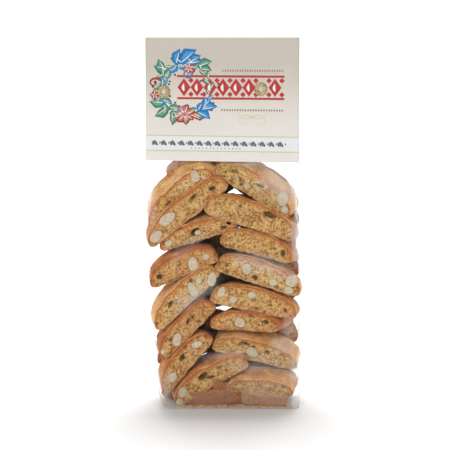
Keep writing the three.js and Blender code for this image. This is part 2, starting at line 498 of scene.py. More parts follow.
def cut_points(one, seed, rows):
    """Places on a cut face, and how far each is inside the crust."""
    along, low, high = slice_outline(one, seed)
    share = np.linspace(0, 1, rows + 1)
    up = low[:, None] + (high - low)[:, None] * share
    sideways = np.repeat(along[:, None], rows + 1, 1)
    inside = np.minimum(up - low[:, None], high[:, None] - up)
    from_end = np.minimum(sideways, one.length - sideways)
    inside = np.minimum(inside, from_end)
    keep = np.ones_like(up, bool)
    keep[0, 1:] = keep[-1, 1:] = False
    return sideways[keep], up[keep], inside[keep]


def slice_points(one, seed):
    """A slice's points as distance along, up and away, with what its surface keeps, in mm."""
    along, up, inside = cut_points(one, seed, ROWS)
    away = EDGE_ROUNDING * np.clip(1 - inside / EDGE_ROUNDING / 1.4, 0, 1) ** 2
    hollow = np.zeros_like(along)
    for bit in one.bits:
        reach = over_bit(bit, along, up)
        if bit.kind == "nut":
            away += 1.1 * (1 - smooth_step(0.7, 0.95, reach))
            # The ring round a nut is painted shade, where the crumb meets the nut.
            ring = smooth_step(0.7, 0.95, reach) * (1 - smooth_step(0.98, 1.22, reach))
            hollow = np.maximum(hollow, 0.4 * ring)
        else:
            depth = np.sqrt(np.clip(1 - reach**2, 0, 1))
            away += min(2.6, 0.6 * bit.width) * depth
            # A hollow is sunk and also painted dark inside: painted shade.
            hollow = np.maximum(hollow, smooth_step(0, 0.6, depth))
    plain_along, plain_up, plain_inside = cut_points(one, seed, PLAIN_ROWS)
    plain_away = np.full_like(plain_along, one.thick)
    numbers = rim_of(grid_numbers(0, ROWS))
    rim_along, rim_up = along[numbers], up[numbers]
    steps = np.linspace(0, 1, DEPTH_STEPS + 1)[1:-1, None]
    crust_along = np.broadcast_to(rim_along, (len(steps), len(numbers))).ravel()
    crust_up = np.broadcast_to(rim_up, (len(steps), len(numbers))).ravel()
    crust_away = np.broadcast_to(
        EDGE_ROUNDING + steps * (one.thick - EDGE_ROUNDING), (len(steps), len(numbers))
    ).ravel()
    nothing = np.zeros_like(crust_along)
    # Painted shade deep in the stack: the crust darkens towards the far cut face, and the plain cut
    # face inside is painted dark.
    buried = 0.85 * smooth_step(0.12 * one.thick, 0.8 * one.thick, crust_away)
    local = np.stack([
        np.concatenate([along, plain_along, crust_along]),
        np.concatenate([up, plain_up, crust_up]),
        np.concatenate([away, plain_away, crust_away]),
    ], -1)
    return local, {
        "inside": MM * np.concatenate([inside, plain_inside, nothing]),
        "hollow": np.concatenate([hollow, np.zeros_like(plain_along), nothing]),
        "buried": np.concatenate([0 * hollow, np.full_like(plain_along, 0.75), buried]),
        "rise": local[:, 1] / one.height,
    }


class Layer(NamedTuple):
    """Which way a layer of slices faces: the viewer's right, and away from the viewer."""

    right: tuple
    away: tuple
    face_y: float


FRONT = Layer((1, 0, 0), (0, 1, 0), FRONT_Y)
BEHIND = Layer((-1, 0, 0), (0, -1, 0), BACK_Y)


def slice_placing(one, layer):
    """A matrix from along, up and away, in millimetres, to the slice's place in the bag."""
    yaw = math.radians(MOST_YAW * math.sin(one.x + 3 * one.z))
    ahead, deeper = Vector(layer.right), Vector(layer.away)
    right = ahead * math.cos(yaw) + deeper * math.sin(yaw)
    away = deeper * math.cos(yaw) - ahead * math.sin(yaw)
    upright = Vector((0, 0, 1))
    slope, roll = math.radians(one.slope), math.radians(one.roll)
    run = right * math.cos(slope) + upright * math.sin(slope)
    square = upright * math.cos(slope) - right * math.sin(slope)
    rise = square * math.cos(roll) - away * math.sin(roll)
    depth = away * math.cos(roll) + square * math.sin(roll)
    leans_out = max(0.0, one.height * math.sin(roll)) + max(0.0, -one.length * math.sin(yaw))
    start = ahead * one.x * MM + upright * one.z * MM
    start.y = layer.face_y + deeper.y * (leans_out + one.sunk) * MM
    sheared = depth + run * (one.bias / one.thick) + rise * (one.lift / one.thick)
    columns = [axis * MM for axis in (run, rise, sheared)]
    matrix = Matrix([[axis[row] for axis in columns] + [start[row]] for row in range(3)])
    matrix.resize_4x4()
    return matrix


def moved(matrix, local):
    return local @ np.array(matrix.to_3x3()).T + np.array(matrix.translation)


def relief_tree(material):
    """Pits and grains that open in a cut face, and the wrinkles of a crust."""
    tree, sizes = shape_tree("baked relief", {
        "Seed": "NodeSocketVector",
        "Pore Size": "NodeSocketFloat",
        "Pore Depth": "NodeSocketFloat",
        "Grain": "NodeSocketFloat",
        "Wrinkle": "NodeSocketFloat",
    })
    place = vector(tree, "ADD", node(tree, "GeometryNodeInputPosition").outputs[0], sizes["Seed"])
    normal = node(tree, "GeometryNodeInputNormal").outputs[0]
    inside = node(tree, "GeometryNodeInputNamedAttribute", {"Name": "inside"}).outputs[0]
    on_cut = between(tree, inside, 0.2 * MM, 1.4 * MM)
    on_crust = maths(tree, "SUBTRACT", 1.0, on_cut)

    per_pore = maths(tree, "DIVIDE", 1.0, sizes["Pore Size"])
    warp = node(tree, "ShaderNodeTexNoise", {"Vector": place, "Scale": 260.0}).outputs["Color"]
    warped = vector(tree, "ADD", place, scaled(tree, warp, 1.1 * MM))
    pits = []
    for coarser, widest, rarity in ((1.0, 0.5, 0.6), (0.45, 0.4, 0.8)):
        seen = node(tree, "ShaderNodeTexVoronoi", {
            "Vector": warped, "Scale": maths(tree, "MULTIPLY", per_pore, coarser),
        })
        pit = between(tree, seen.outputs["Distance"], 0.15, widest, 1.0, 0.0)
        keep = maths(tree, "GREATER_THAN", first_of(tree, seen.outputs["Color"]), rarity)
        pits.append(maths(tree, "MULTIPLY", pit, keep))
    fine, coarse = pits
    open_crumb = maths(tree, "MAXIMUM", fine, coarse)
    # Where the pits open in the cut face, for the painted shade in them.
    pore = maths(tree, "MULTIPLY", open_crumb, on_cut)
    sunk = maths(tree, "ADD", fine, maths(tree, "MULTIPLY", coarse, 1.7))
    sunk = maths(tree, "MULTIPLY", maths(tree, "MULTIPLY", sunk, sizes["Pore Depth"]), on_cut)

    grains = maths(tree, "ADD", cloud(tree, place, 1.7 * MM), cloud(tree, place, 6 * MM))
    grains = maths(tree, "MULTIPLY", maths(tree, "SUBTRACT", grains, 1.0), sizes["Grain"])
    wrinkles = maths(tree, "ADD", cloud(tree, place, 9 * MM), cloud(tree, place, 3 * MM, 3.0))
    wrinkles = maths(tree, "SUBTRACT", wrinkles, 1.0)
    wrinkles = maths(tree, "MULTIPLY", wrinkles, maths(tree, "MULTIPLY", sizes["Wrinkle"], on_crust))
    out = maths(tree, "SUBTRACT", maths(tree, "ADD", grains, wrinkles), sunk)
    marked = node(tree, "GeometryNodeStoreNamedAttribute", {
        "Geometry": sizes["Geometry"], "Name": "pore", "Value": pore,
    }, data_type="FLOAT", domain="POINT")
    pushed = node(tree, "GeometryNodeSetPosition", {
        "Geometry": marked.outputs[0], "Offset": scaled(tree, normal, out),
    })
    close_tree(tree, pushed.outputs[0], material)
    return tree


def biscuit_paint(look):
    """Golden crumb with painted shade in its pores and hollows, a toasted edge, and a mottled brown
    crust painted darker deep in the stack.
    """
    material, tree, shader, _, place = paint("baked biscuit")
    inside, hollow, rise = kept(tree, "inside"), kept(tree, "hollow"), kept(tree, "rise")
    pore, toast = kept(tree, "pore"), kept(tree, "toast")

    blots = cloud(tree, place, 6 * MM, 2.0, 0.5)
    grit = cloud(tree, place, 1.6 * MM, 4.0, 0.7)
    specks = cloud(tree, place, 0.9 * MM, 2.0, 0.6)
    crumb = blended(tree, between(tree, grit, 0.38, 0.6),
                    solid_colour(look.crumb_dark), solid_colour(look.crumb_light))
    crumb = blended(tree, between(tree, blots, 0.42, 0.72, 0.0, 0.55),
                    crumb, solid_colour(look.crumb_pale))
    # Painted shade in the pores: where the relief tree sank the crumb, and in pits drawn by noise.
    loose = maths(tree, "ADD", grit, maths(tree, "MULTIPLY", blots, 0.3))
    pits = maths(tree, "MAXIMUM", between(tree, loose, 0.5, 0.66, 0.62, 0.0),
                 between(tree, specks, 0.3, 0.45, 0.4, 0.0))
    dark = maths(tree, "MAXIMUM", maths(tree, "MULTIPLY", pore, 0.75), pits)
    browned = between(tree, cloud(tree, place, 4.5 * MM, 3.0, 0.6), 0.45, 0.68, 0.0, 0.5)
    crumb = blended(tree, browned, crumb, solid_colour(look.rim))
    crumb = blended(tree, dark, crumb, solid_colour(look.pore))
    # Painted shade in hollows and in the ring round each nut.
    crumb = blended(tree, maths(tree, "MULTIPLY", hollow, 0.8), crumb, solid_colour(look.cavity_shade))

    patches = cloud(tree, place, 11 * MM, 4.0, 0.6)
    grain = cloud(tree, place, 1.6 * MM, 2.0, 0.6)
    tone = maths(tree, "SUBTRACT", between(tree, patches, 0.25, 0.75, 0.3, 1.2), toast, clamp=True)
    crust = blended(tree, tone, solid_colour(look.crust_dark), solid_colour(look.crust_light))
    crust = blended(tree, between(tree, grain, 0.5, 0.75, 0.0, 0.45),
                    crust, solid_colour(look.crust_spot))
    under = between(tree, rise, 0.05, 0.28, 1.0, 0.0)
    crust = blended(tree, under, crust, solid_colour(look.base))

    edge = maths(tree, "ADD", inside, maths(tree, "MULTIPLY", specks, -1.6 * MM))
    edge = maths(tree, "ADD", edge, maths(tree, "MULTIPLY", blots, -1.6 * MM))
    rim = blended(tree, under, solid_colour(look.rim), solid_colour(look.base))
    on_top = maths(tree, "SUBTRACT", 1.0, under)
    toasted = between(tree, edge, -0.9 * MM, 3.2 * MM, 0.9, 0.0)
    toasted = maths(tree, "MULTIPLY", toasted, between(tree, on_top, 0.0, 1.0, 0.15, 1.0))
    crumb = blended(tree, toasted, crumb, rim)
    # A dark line along the top edge of the cut face: a well baked edge, darkened further as painted
    # shade where the crust turns away.
    scorched_and_shaded = maths(tree, "MULTIPLY", between(tree, edge, -1.1 * MM, 0.0, 0.8, 0.0), on_top)
    crumb = blended(tree, scorched_and_shaded, crumb, solid_colour(look.crust_spot))
    skin = between(tree, edge, -1.3 * MM, -0.7 * MM, 1.0, 0.0)
    colour = blended(tree, skin, crumb, crust)
    # Painted shade deep in the gaps between slices.
    colour = blended(tree, kept(tree, "buried"), colour, solid_colour(look.cavity_shade))
    darker = blended(tree, maths(tree, "MULTIPLY", toast, 0.5), colour,
                     solid_colour(look.rim), "MULTIPLY")
    tree.links.new(darker, shader.inputs["Base Color"])
    shader.inputs["Roughness"].default_value = 0.72
    shader.inputs["Specular IOR Level"].default_value = 0.3
    fine = maths(tree, "ADD", maths(tree, "MULTIPLY", specks, 0.6), grit)
    fine = maths(tree, "ADD", fine, maths(tree, "MULTIPLY", blots, 1.5))
    bumped(tree, shader, fine, 1.2 * MM, 0.8)
    return material


def almond_shape(bit, matrix):
    """A nut cut through with the slice: a slightly proud face with the seed's point."""
    around, rings = 36, (0.0, 0.35, 0.65, 0.86, 0.96, 1.0)
    turn = math.radians(bit.turn)
    local, edge = [], []
    levels = [(share, 0.05 - 0.22 * (1 - share**3)) for share in rings]
    levels += [(1.0, 0.5), (0.93, 2.0), (0.75, 3.4), (0.4, 4.4), (0.0, 4.8)]
    for number, (share, away) in enumerate(levels):
        for step in range(1 if share == 0 else around):
            angle = 2 * math.pi * step / around
            point = 1 - 0.16 * math.cos(angle)
            lengthways = share * bit.length / 2 * math.cos(angle)
            sideways = share * bit.width / 2 * math.sin(angle) * point
            along = bit.along + lengthways * math.cos(turn) - sideways * math.sin(turn)
            up = bit.up + lengthways * math.sin(turn) + sideways * math.cos(turn)
            local.append((along, up, away))
            edge.append(1.0 if number >= len(rings) - 1 else share**8)
    faces = [(0, 1 + step, 1 + (step + 1) % around) for step in range(around)]
    loops = len(levels) - 2
    for loop in range(loops - 1):
        for step in range(around):
            a = 1 + loop * around + step
            b = 1 + loop * around + (step + 1) % around
            faces.append((a, a + around, b + around, b))
    last = 1 + loops * around
    start = last - around
    faces += [(start + step, last, start + (step + 1) % around) for step in range(around)]
    return moved(matrix, np.array(local)), faces, edge


def almond_paint(look):
    """Cream nut flesh, faintly veined, with its thin brown skin round the edge."""
    material, tree, shader, _, place = paint("cut almond")
    veins = cloud(tree, place, 2.4 * MM, 3.0, 0.6)
    flesh = blended(tree, between(tree, veins, 0.35, 0.68),
                    solid_colour(look.nut_shade), solid_colour(look.nut))
    skin = between(tree, kept(tree, "edge"), 0.45, 0.95)
    colour = blended(tree, skin, flesh, solid_colour(look.nut_skin))
    tree.links.new(colour, shader.inputs["Base Color"])
    shader.inputs["Roughness"].default_value = 0.5
    bumped(tree, shader, cloud(tree, place, 1.0 * MM, 2.0), 0.25 * MM, 0.5)
    return material


# Film

FRONT_STEPS, SIDE_STEPS, CORNER_STEPS = 104, 32, 7
RING_STEP = 1.2 * MM
CORNER_RADIUS = 8 * MM
FILM_CLEARANCE = 0.35 * MM
FIN_FROM = 236 * MM
SHOULDER_FROM = 172 * MM
PROBE = 9 * MM  # how far outside its outline the film starts to feel for the slices


def reach_to(tree, start, direction):
    """Distance from a point to a surface, along a direction."""
    distance = tree.ray_cast(start, direction)[3]
    if distance is None:
        raise RuntimeError(f"the packed bag has no wall from {start} towards {direction}")
    return distance


def smoothed(values, width):
    """A running mean that leaves the ends where they are."""
    padded = np.pad(values, width, mode="edge")
    window = np.ones(2 * width + 1) / (2 * width + 1)
    return np.convolve(padded, window, mode="valid")


def bag_sections(heights):
    """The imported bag's left side, right side and half depth at each height."""
    graph = bpy.context.evaluated_depsgraph_get()
    walls = BVHTree.FromObject(frame["nodes"]["bag"], graph)
    middle = (BAG_LOW.x + BAG_HIGH.x) / 2 - 8 * MM
    rows = []
    for z in heights:
        start = Vector((middle, 0, min(max(z, 0.2 * MM), BAG_HIGH.z - 0.2 * MM)))
        left = middle - reach_to(walls, start, Vector((-1, 0, 0)))
        right = middle + reach_to(walls, start, Vector((1, 0, 0)))
        depth = np.mean([
            reach_to(walls, start + Vector((x, 0, 0)), Vector((0, -1, 0)))
            for x in (-0.026, -0.013, 0, 0.013, 0.026)
        ])
        rows.append((left, right, depth))
    return [smoothed(np.array(column), 4) for column in zip(*rows)]


def film_ring(left, right, depth):
    """Points and outward directions round a rectangle with round corners, from the front left."""
    radius = min(CORNER_RADIUS, 0.85 * depth)
    corners = (
        (left + radius, -depth + radius, math.pi, FRONT_STEPS),
        (right - radius, -depth + radius, 1.5 * math.pi, SIDE_STEPS),
        (right - radius, depth - radius, 0.0, FRONT_STEPS),
        (left + radius, depth - radius, 0.5 * math.pi, SIDE_STEPS),
    )
    points, outward = [], []
    for number, (x, y, start, steps) in enumerate(corners):
        for step in range(CORNER_STEPS):
            angle = start + math.pi / 2 * step / (CORNER_STEPS - 1)
            outward.append((math.cos(angle), math.sin(angle)))
            points.append((x + radius * outward[-1][0], y + radius * outward[-1][1]))
        next_x, next_y, next_start, _ = corners[(number + 1) % 4]
        end = (next_x + radius * math.cos(next_start), next_y + radius * math.sin(next_start))
        begin = points[-1]
        for step in range(1, steps):
            share = step / steps
            points.append(tuple(a + (b - a) * share for a, b in zip(begin, end)))
            outward.append(outward[-1])
    return np.array(points), np.array(outward)


def contents_tree(pieces):
    """All slices as one searchable surface."""
    points, faces = [], []
    for piece in pieces:
        mesh = piece.data
        places = np.empty(3 * len(mesh.vertices))
        mesh.vertices.foreach_get("co", places)
        start = len(points)
        points.extend(places.reshape(-1, 3).tolist())
        faces.extend([[start + i for i in face.vertices] for face in mesh.polygons])
    return BVHTree.FromPolygons(points, faces)


def room_inwards(contents, places, outward):
    """How far the film could move in at each of its points before it meets a slice."""
    room = np.full(len(places), 1.0)
    for number, (place, out) in enumerate(zip(places, outward)):
        direction = Vector(out)
        hit = contents.ray_cast(Vector(place) + direction * PROBE, -direction, 4 * PROBE)
        if hit[3] is not None:
            room[number] = hit[3] - PROBE
    return room


def shrunk_on(room, heights, look):
    """How far inwards the film rests, when it is drawn in evenly and the slices hold it out."""
    shoulder = smooth_step(SHOULDER_FROM, SHOULDER_FROM + 40 * MM, heights)[:, None]
    deepest = look.sag * (1 - shoulder)
    limit = np.minimum(room - FILM_CLEARANCE, deepest)
    limit[0] = np.minimum(limit[0], 0.0)
    limit[-1] = 0.0
    inwards = np.minimum(limit, 0.0)
    for _ in range(look.settling):
        above = np.vstack([inwards[1:], inwards[-1:]])
        below = np.vstack([inwards[:1], inwards[:-1]])
        beside = np.roll(inwards, 1, 1) + np.roll(inwards, -1, 1)
        drawn = (above + below + beside) / 4 + look.pull
        inwards = np.minimum(drawn, limit)
    return inwards


def film_shell(contents, look):
    """The bag's film as one closed surface, with how free of the slices it is at each point."""
    heights = np.linspace(0, BAG_HIGH.z, round(BAG_HIGH.z / RING_STEP) + 1)
    rings = [film_ring(*section) for section in zip(*bag_sections(heights))]
    around = len(rings[0][0])
    flat = np.concatenate([points for points, _ in rings])
    places = np.column_stack([flat, np.repeat(heights, around)])
    outward = np.concatenate([directions for _, directions in rings])
    outward = np.column_stack([outward, np.zeros(len(outward))])
    room = room_inwards(contents, places, outward).reshape(len(heights), around)
    inwards = shrunk_on(room, heights, look)
    free = smooth_step(0.3 * MM, 2.5 * MM, room - FILM_CLEARANCE - inwards)
    places = places - outward * inwards.reshape(-1, 1)
    faces = []
    for ring in range(len(heights) - 1):
        for step in range(around):
            a = ring * around + step
            b = ring * around + (step + 1) % around
            faces.append((a, b, b + around, a + around))
    last = (len(heights) - 1) * around
    faces.append(tuple(range(around))[::-1])
    faces.append(tuple(range(last, last + around)))
    return mesh_from("film", places, faces), free.ravel(), places


BOTTOM_VEIL = 0.08
# Painted highlights: milky patches where folds of the film catch the light on the front. Each gives
# the patch's middle across and up, its half width and height, its lean in degrees, and how milky it
# is.
PAINTED_FILM_HIGHLIGHTS = (
    (44, 181, 21, 16, -40, 0.65), (57, 166, 5.5, 20, 0, 1.0), (-42, 193, 16, 5, 25, 0.5),
    (-57, 166, 4, 26, 0, 0.4), (30, 116, 26, 9, -18, 0.4), (-24, 92, 22, 7, 35, 0.4),
    (0, 44, 22, 5, 6, 0.28), (22, 34, 26, 5, -4, 0.35), (55, 30, 7, 14, 0, 0.7),
    (52, 66, 10, 10, 0, 0.35), (57, 136, 6, 22, 0, 1.0), (-48, 12, 8, 16, 0, 0.5),
    (-10, 6, 30, 6, 0, 0.08), (-30, 130, 22, 5, 40, 0.2), (12, 196, 26, 4, -8, 0.6),
    (47, 51, 13, 9, -13, 0.5), (-56, 6, 8, 9, 0, 1.0), (57, 5, 6, 8, 0, 1.0),
    (32, 18, 30, 11, -3, 0.24), (38, 36, 24, 8, -15, 0.28),
)


def painted_highlights_at(x, z):
    """How milky the front is at each place, as painted highlights, with patches that break up at
    their edges.
    """
    total = np.zeros(len(x))
    streaks = np.array([noise.noise(Vector((a * 150, b * 55, 9.0))) for a, b in zip(x, z)])
    for middle, height, half_width, half_height, lean, strength in PAINTED_FILM_HIGHLIGHTS:
        turn = math.radians(lean)
        across, up = x - middle * MM, z - height * MM
        along = (across * math.cos(turn) + up * math.sin(turn)) / (half_width * MM)
        beside = (up * math.cos(turn) - across * math.sin(turn)) / (half_height * MM)
        reach = np.hypot(along, beside) + 0.35 * streaks
        total = np.maximum(total, strength * smooth_step(1.25, 0.35, reach))
    return total


def film_veil_and_highlights(places):
    """Where the film is milky: in folds on the front as painted highlights, at the flat bottom and
    over the fin.
    """
    x, y, z = places.T
    wavy = np.array([noise.noise(Vector((a * 40, b * 40, 3.0))) for a, b in zip(x, z)])
    bottom = BOTTOM_VEIL * (1 - smooth_step(9 * MM, 12 * MM, z + 4 * MM * wavy))
    fin = smooth_step(225 * MM, FIN_FROM, z)
    # Painted highlights on the front.
    front = painted_highlights_at(x, z) * smooth_step(0.0, -8 * MM, y)
    return np.maximum(np.maximum(bottom, fin), front)


def crease_tree(material):
    """Sharp little creases where the film is free, and gathers that run up to the neck."""
    tree, sizes = shape_tree("film creases", {
        "Crease Height": "NodeSocketFloat",
        "Crease Size": "NodeSocketFloat",
        "Gather Height": "NodeSocketFloat",
        "Pleat Height": "NodeSocketFloat",
    })
    place = node(tree, "GeometryNodeInputPosition").outputs[0]
    normal = node(tree, "GeometryNodeInputNormal").outputs[0]
    free = node(tree, "GeometryNodeInputNamedAttribute", {"Name": "free"}).outputs[0]
    neck = node(tree, "GeometryNodeInputNamedAttribute", {"Name": "neck"}).outputs[0]
    per_crease = maths(tree, "DIVIDE", 1.0, sizes["Crease Size"])
    heights = []
    for turn, stretch in ((0.6, 0.35), (-0.5, 0.4), (1.5, 0.5)):
        turned = node(tree, "ShaderNodeVectorRotate", {"Vector": place, "Angle": turn},
                      rotation_type="Y_AXIS").outputs[0]
        long = vector(tree, "MULTIPLY", turned, (1.0, 1.0, stretch))
        wave = node(tree, "ShaderNodeTexNoise", {
            "Vector": long, "Scale": per_crease, "Detail": 1.0,
        }).outputs["Fac"]
        fold = maths(tree, "ABSOLUTE", maths(tree, "SUBTRACT", wave, 0.5))
        heights.append(between(tree, fold, 0.0, 0.09, 1.0, 0.0))
    crease = maths(tree, "ADD", maths(tree, "ADD", heights[0], heights[1]), heights[2])
    crease = maths(tree, "MULTIPLY", maths(tree, "MULTIPLY", crease, free), sizes["Crease Height"])
    upright = vector(tree, "MULTIPLY", place, (1.0, 1.0, 0.12))
    gather = maths(tree, "SUBTRACT", cloud(tree, upright, 6 * MM, 1.0), 0.5)
    gather = maths(tree, "MULTIPLY", maths(tree, "MULTIPLY", gather, neck), sizes["Gather Height"])
    side = node(tree, "GeometryNodeInputNamedAttribute", {"Name": "side"}).outputs[0]
    long = vector(tree, "MULTIPLY", place, (1.0, 1.0, 0.06))
    pleat = between(tree, cloud(tree, long, 3.2 * MM, 1.0), 0.5, 0.72)
    pleat = maths(tree, "MULTIPLY", maths(tree, "MULTIPLY", pleat, side), sizes["Pleat Height"])
    out = maths(tree, "ADD", maths(tree, "ADD", crease, gather), pleat)
    pushed = node(tree, "GeometryNodeSetPosition", {
        "Geometry": sizes["Geometry"], "Offset": scaled(tree, normal, out),
    })
    close_tree(tree, pushed.outputs[0], material)
    return tree


def film_paint(look):
    """Clear film: sheen that grows at glancing angles, and a veil where it is folded or dusty, which
    also carries painted highlights.
    """
    material, tree, shader, output, place = paint("clear film")
    tree.nodes.remove(shader)
    glancing = node(tree, "ShaderNodeLayerWeight", {"Blend": 0.5}).outputs["Facing"]
    edge = maths(tree, "MULTIPLY", maths(tree, "POWER", glancing, 4.0), kept(tree, "shine"))
    sheen = node(
        tree, "ShaderNodeMath",
        {0: edge, 1: look.edge_sheen, 2: look.sheen},
        operation="MULTIPLY_ADD",
    ).outputs[0]
    # The veil holds the painted highlights as well as the milkiness of the bottom and the fin.
    veil = maths(tree, "MULTIPLY", kept(tree, "veil"), look.fold_veil_and_highlights)
    dust = between(tree, cloud(tree, place, 14 * MM, 3.0, 0.6), 0.35, 0.75, 0.2, 1.0)
    veil = maths(tree, "ADD", veil, maths(tree, "MULTIPLY", dust, look.veil), clamp=True)
    clear = node(tree, "ShaderNodeBsdfTransparent", {"Color": (0.985, 0.985, 0.985, 1)})
    cloudy = node(tree, "ShaderNodeBsdfTranslucent", {"Color": (0.99, 0.96, 0.92, 1)})
    milky = node(tree, "ShaderNodeBsdfDiffuse", {"Color": (0.99, 0.96, 0.92, 1)})
    haze = node(tree, "ShaderNodeMixShader", {0: 0.8, 1: cloudy.outputs[0], 2: milky.outputs[0]})
    body = node(tree, "ShaderNodeMixShader", {0: veil, 1: clear.outputs[0], 2: haze.outputs[0]})
    gloss = node(tree, "ShaderNodeBsdfGlossy", {"Color": (1, 1, 1, 1), "Roughness": 0.08})
    film = node(tree, "ShaderNodeMixShader", {0: sheen, 1: body.outputs[0], 2: gloss.outputs[0]})
    tree.links.new(film.outputs[0], output.inputs["Surface"])
    return material


# Header card

CARD_THICKNESS = 0.5 * MM
CARD_FLAT = 1.15 * MM  # from the fin's middle to the middle of the card, over the fin
CARD_SPLAY = 11.5 * MM  # how far each panel stands out at its lower edge
CARD_BEND_POWER = 1.7
CARD_SKEW = 1 * MM  # the lower edge is this much lower on the right
CARD_TOP = CARD_HIGH.z
CARD_BOTTOM = CARD_TOP - 96 * MM
CARD_COLUMNS, CARD_ROWS, FOLD_STEPS = 72, 64, 8
HOLE_RADIUS = 2.9 * MM
PRINT_FREE_RADIUS = 4.6 * MM  # no print lies nearer to an eyelet's middle


def skewed(x, z):
    """The height of a place on the card, when its lower edge is skewed."""
    across = (2 * x - CARD_LOW.x - CARD_HIGH.x) / (CARD_HIGH.x - CARD_LOW.x)
    return z - CARD_SKEW * across * (CARD_TOP - z) / (CARD_TOP - CARD_BOTTOM)


def card_warp(x, z):
    """How far the card bends back or forth, most at its free lower edge."""
    loose = 0.12 + 0.88 * float(smooth_step(FIN_FROM, CARD_BOTTOM, z))
    return 1.1 * MM * loose * noise.noise(Vector((x / 0.05, z / 0.07, 4.2)))


def on_card(x, z, lift, side=-1):
    """A place on a panel, at a distance from the middle of its thickness. Side -1 is in front."""
    free = FIN_FROM - CARD_BOTTOM
    share = max(0.0, (FIN_FROM - z) / free)
    bend = CARD_SPLAY * share**CARD_BEND_POWER
    tilt = math.atan(CARD_BEND_POWER * CARD_SPLAY * share ** (CARD_BEND_POWER - 1) / free)
    out = CARD_FLAT + bend + lift * math.cos(tilt)
    return x, side * out + card_warp(x, z), skewed(x, z) + lift * math.sin(tilt)


def card_section(x, lift):
    """The card's line at one place across: up the front, over the fold and down the back."""
    fold = CARD_TOP - CARD_THICKNESS / 2 - CARD_FLAT
    heights = np.linspace(CARD_BOTTOM, fold, CARD_ROWS + 1)
    line = [on_card(x, z, lift) for z in heights]
    radius = CARD_FLAT + lift
    for step in range(1, FOLD_STEPS):
        angle = math.pi * step / FOLD_STEPS
        z = fold + radius * math.sin(angle)
        line.append((x, -radius * math.cos(angle) + card_warp(x, z), skewed(x, z)))
    return line + [on_card(x, z, lift, 1) for z in heights[::-1]]


def card_mesh():
    """The folded card as one closed sheet of its true thickness."""
    points = []
    for x in np.linspace(CARD_LOW.x, CARD_HIGH.x, CARD_COLUMNS + 1):
        outer = card_section(x, CARD_THICKNESS / 2)
        inner = card_section(x, -CARD_THICKNESS / 2)
        points += outer + inner[::-1]
    around = len(points) // (CARD_COLUMNS + 1)
    faces = []
    for column in range(CARD_COLUMNS):
        for step in range(around):
            a = column * around + step
            b = column * around + (step + 1) % around
            faces.append((a, a + around, b + around, b))
    last = CARD_COLUMNS * around
    for step in range(around // 2 - 1):
        end = (step, step + 1, around - 2 - step, around - 1 - step)
        faces.append(end)
        faces.append(tuple(last + number for number in end[::-1]))
    return mesh_from("header_card", points, faces)


def drilled(piece):
    """Cuts the eyelets' holes right through a piece."""
    bits = []
    for name in EYELET_NODES:
        low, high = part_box(name)
        sides = 40
        points, around = [], range(sides)
        for y in (-0.03, 0.03):
            for step in around:
                angle = 2 * math.pi * step / sides
                x = (low.x + high.x) / 2 + HOLE_RADIUS * math.cos(angle)
                z = (low.z + high.z) / 2 + HOLE_RADIUS * math.sin(angle)
                points.append((x, y, z))
        faces = [(i, (i + 1) % sides, sides + (i + 1) % sides, sides + i) for i in around]
        faces += [tuple(around)[::-1], tuple(sides + i for i in around)]
        bit = put("drill", mesh_from("drill", points, faces))
        bits.append(bit)
        cut = piece.modifiers.new("hole", "BOOLEAN")
        cut.operation = "DIFFERENCE"
        cut.solver = "EXACT"
        cut.object = bit
    seen = piece.evaluated_get(bpy.context.evaluated_depsgraph_get())
    piece.data = bpy.data.meshes.new_from_object(seen)
    piece.modifiers.clear()
    for bit in bits:
        bpy.data.objects.remove(bit)
    return piece


def paper_paint(look):
    """Warm off-white laid paper, painted darker towards the fold as shade, with a pale band between
    two thin rules across the front.
    """
    material, tree, shader, _, place = paint("laid paper")
    split = node(tree, "ShaderNodeSeparateXYZ", {0: place})
    across, through, up = split.outputs
    # Painted shade: the paper darkens towards the fold at the top.
    tone = between(tree, up, CARD_BOTTOM, CARD_TOP)
    tone = maths(tree, "ADD", tone, maths(tree, "MULTIPLY", cloud(tree, place, 30 * MM), 0.25))
    paper = blended(tree, tone, solid_colour(look.paper), solid_colour(look.paper_painted_shade_and_weave))
    lean = maths(tree, "MULTIPLY", across, CARD_SKEW / (60 * MM))
    height = maths(tree, "ADD", up, maths(tree, "MULTIPLY", lean, 0.85))
    in_front = maths(tree, "LESS_THAN", through, 0.0)
    for colour, low, high in look.fields():
        inside = maths(tree, "MULTIPLY", maths(tree, "GREATER_THAN", height, low),
                       maths(tree, "LESS_THAN", height, high))
        inside = maths(tree, "MULTIPLY", inside, in_front)
        paper = blended(tree, inside, paper, solid_colour(colour))
    distance, cell = cells(tree, place, 5 * MM)
    fleck = maths(tree, "MULTIPLY", between(tree, distance, 0.05, 0.12, 0.5, 0.0),
                  maths(tree, "GREATER_THAN", first_of(tree, cell), 0.8))
    paper = blended(tree, fleck, paper, solid_colour(look.fleck))
    laid = []
    for axis, pitch in (("X", 1.1 * MM), ("Z", 1.4 * MM)):
        lines = node(tree, "ShaderNodeTexWave", {
            "Vector": place, "Scale": 0.3142 / pitch, "Distortion": 1.5, "Detail": 1.0,
            "Detail Scale": 1.0,
        }, bands_direction=axis)
        laid.append(lines.outputs["Fac"])
    weave = maths(tree, "MULTIPLY", maths(tree, "ADD", laid[0], laid[1]), 0.5)
    weave = maths(tree, "ADD", weave, cloud(tree, place, 0.8 * MM, 3.0))
    paper = blended(tree, between(tree, weave, 0.6, 1.4, 0.0, 0.12), paper,
                    solid_colour(look.paper_painted_shade_and_weave), "MULTIPLY")
    tree.links.new(paper, shader.inputs["Base Color"])
    shader.inputs["Roughness"].default_value = 0.8
    shader.inputs["Specular IOR Level"].default_value = 0.25
    bumped(tree, shader, weave, 0.12 * MM, 0.5)
    return material


# Print on the card


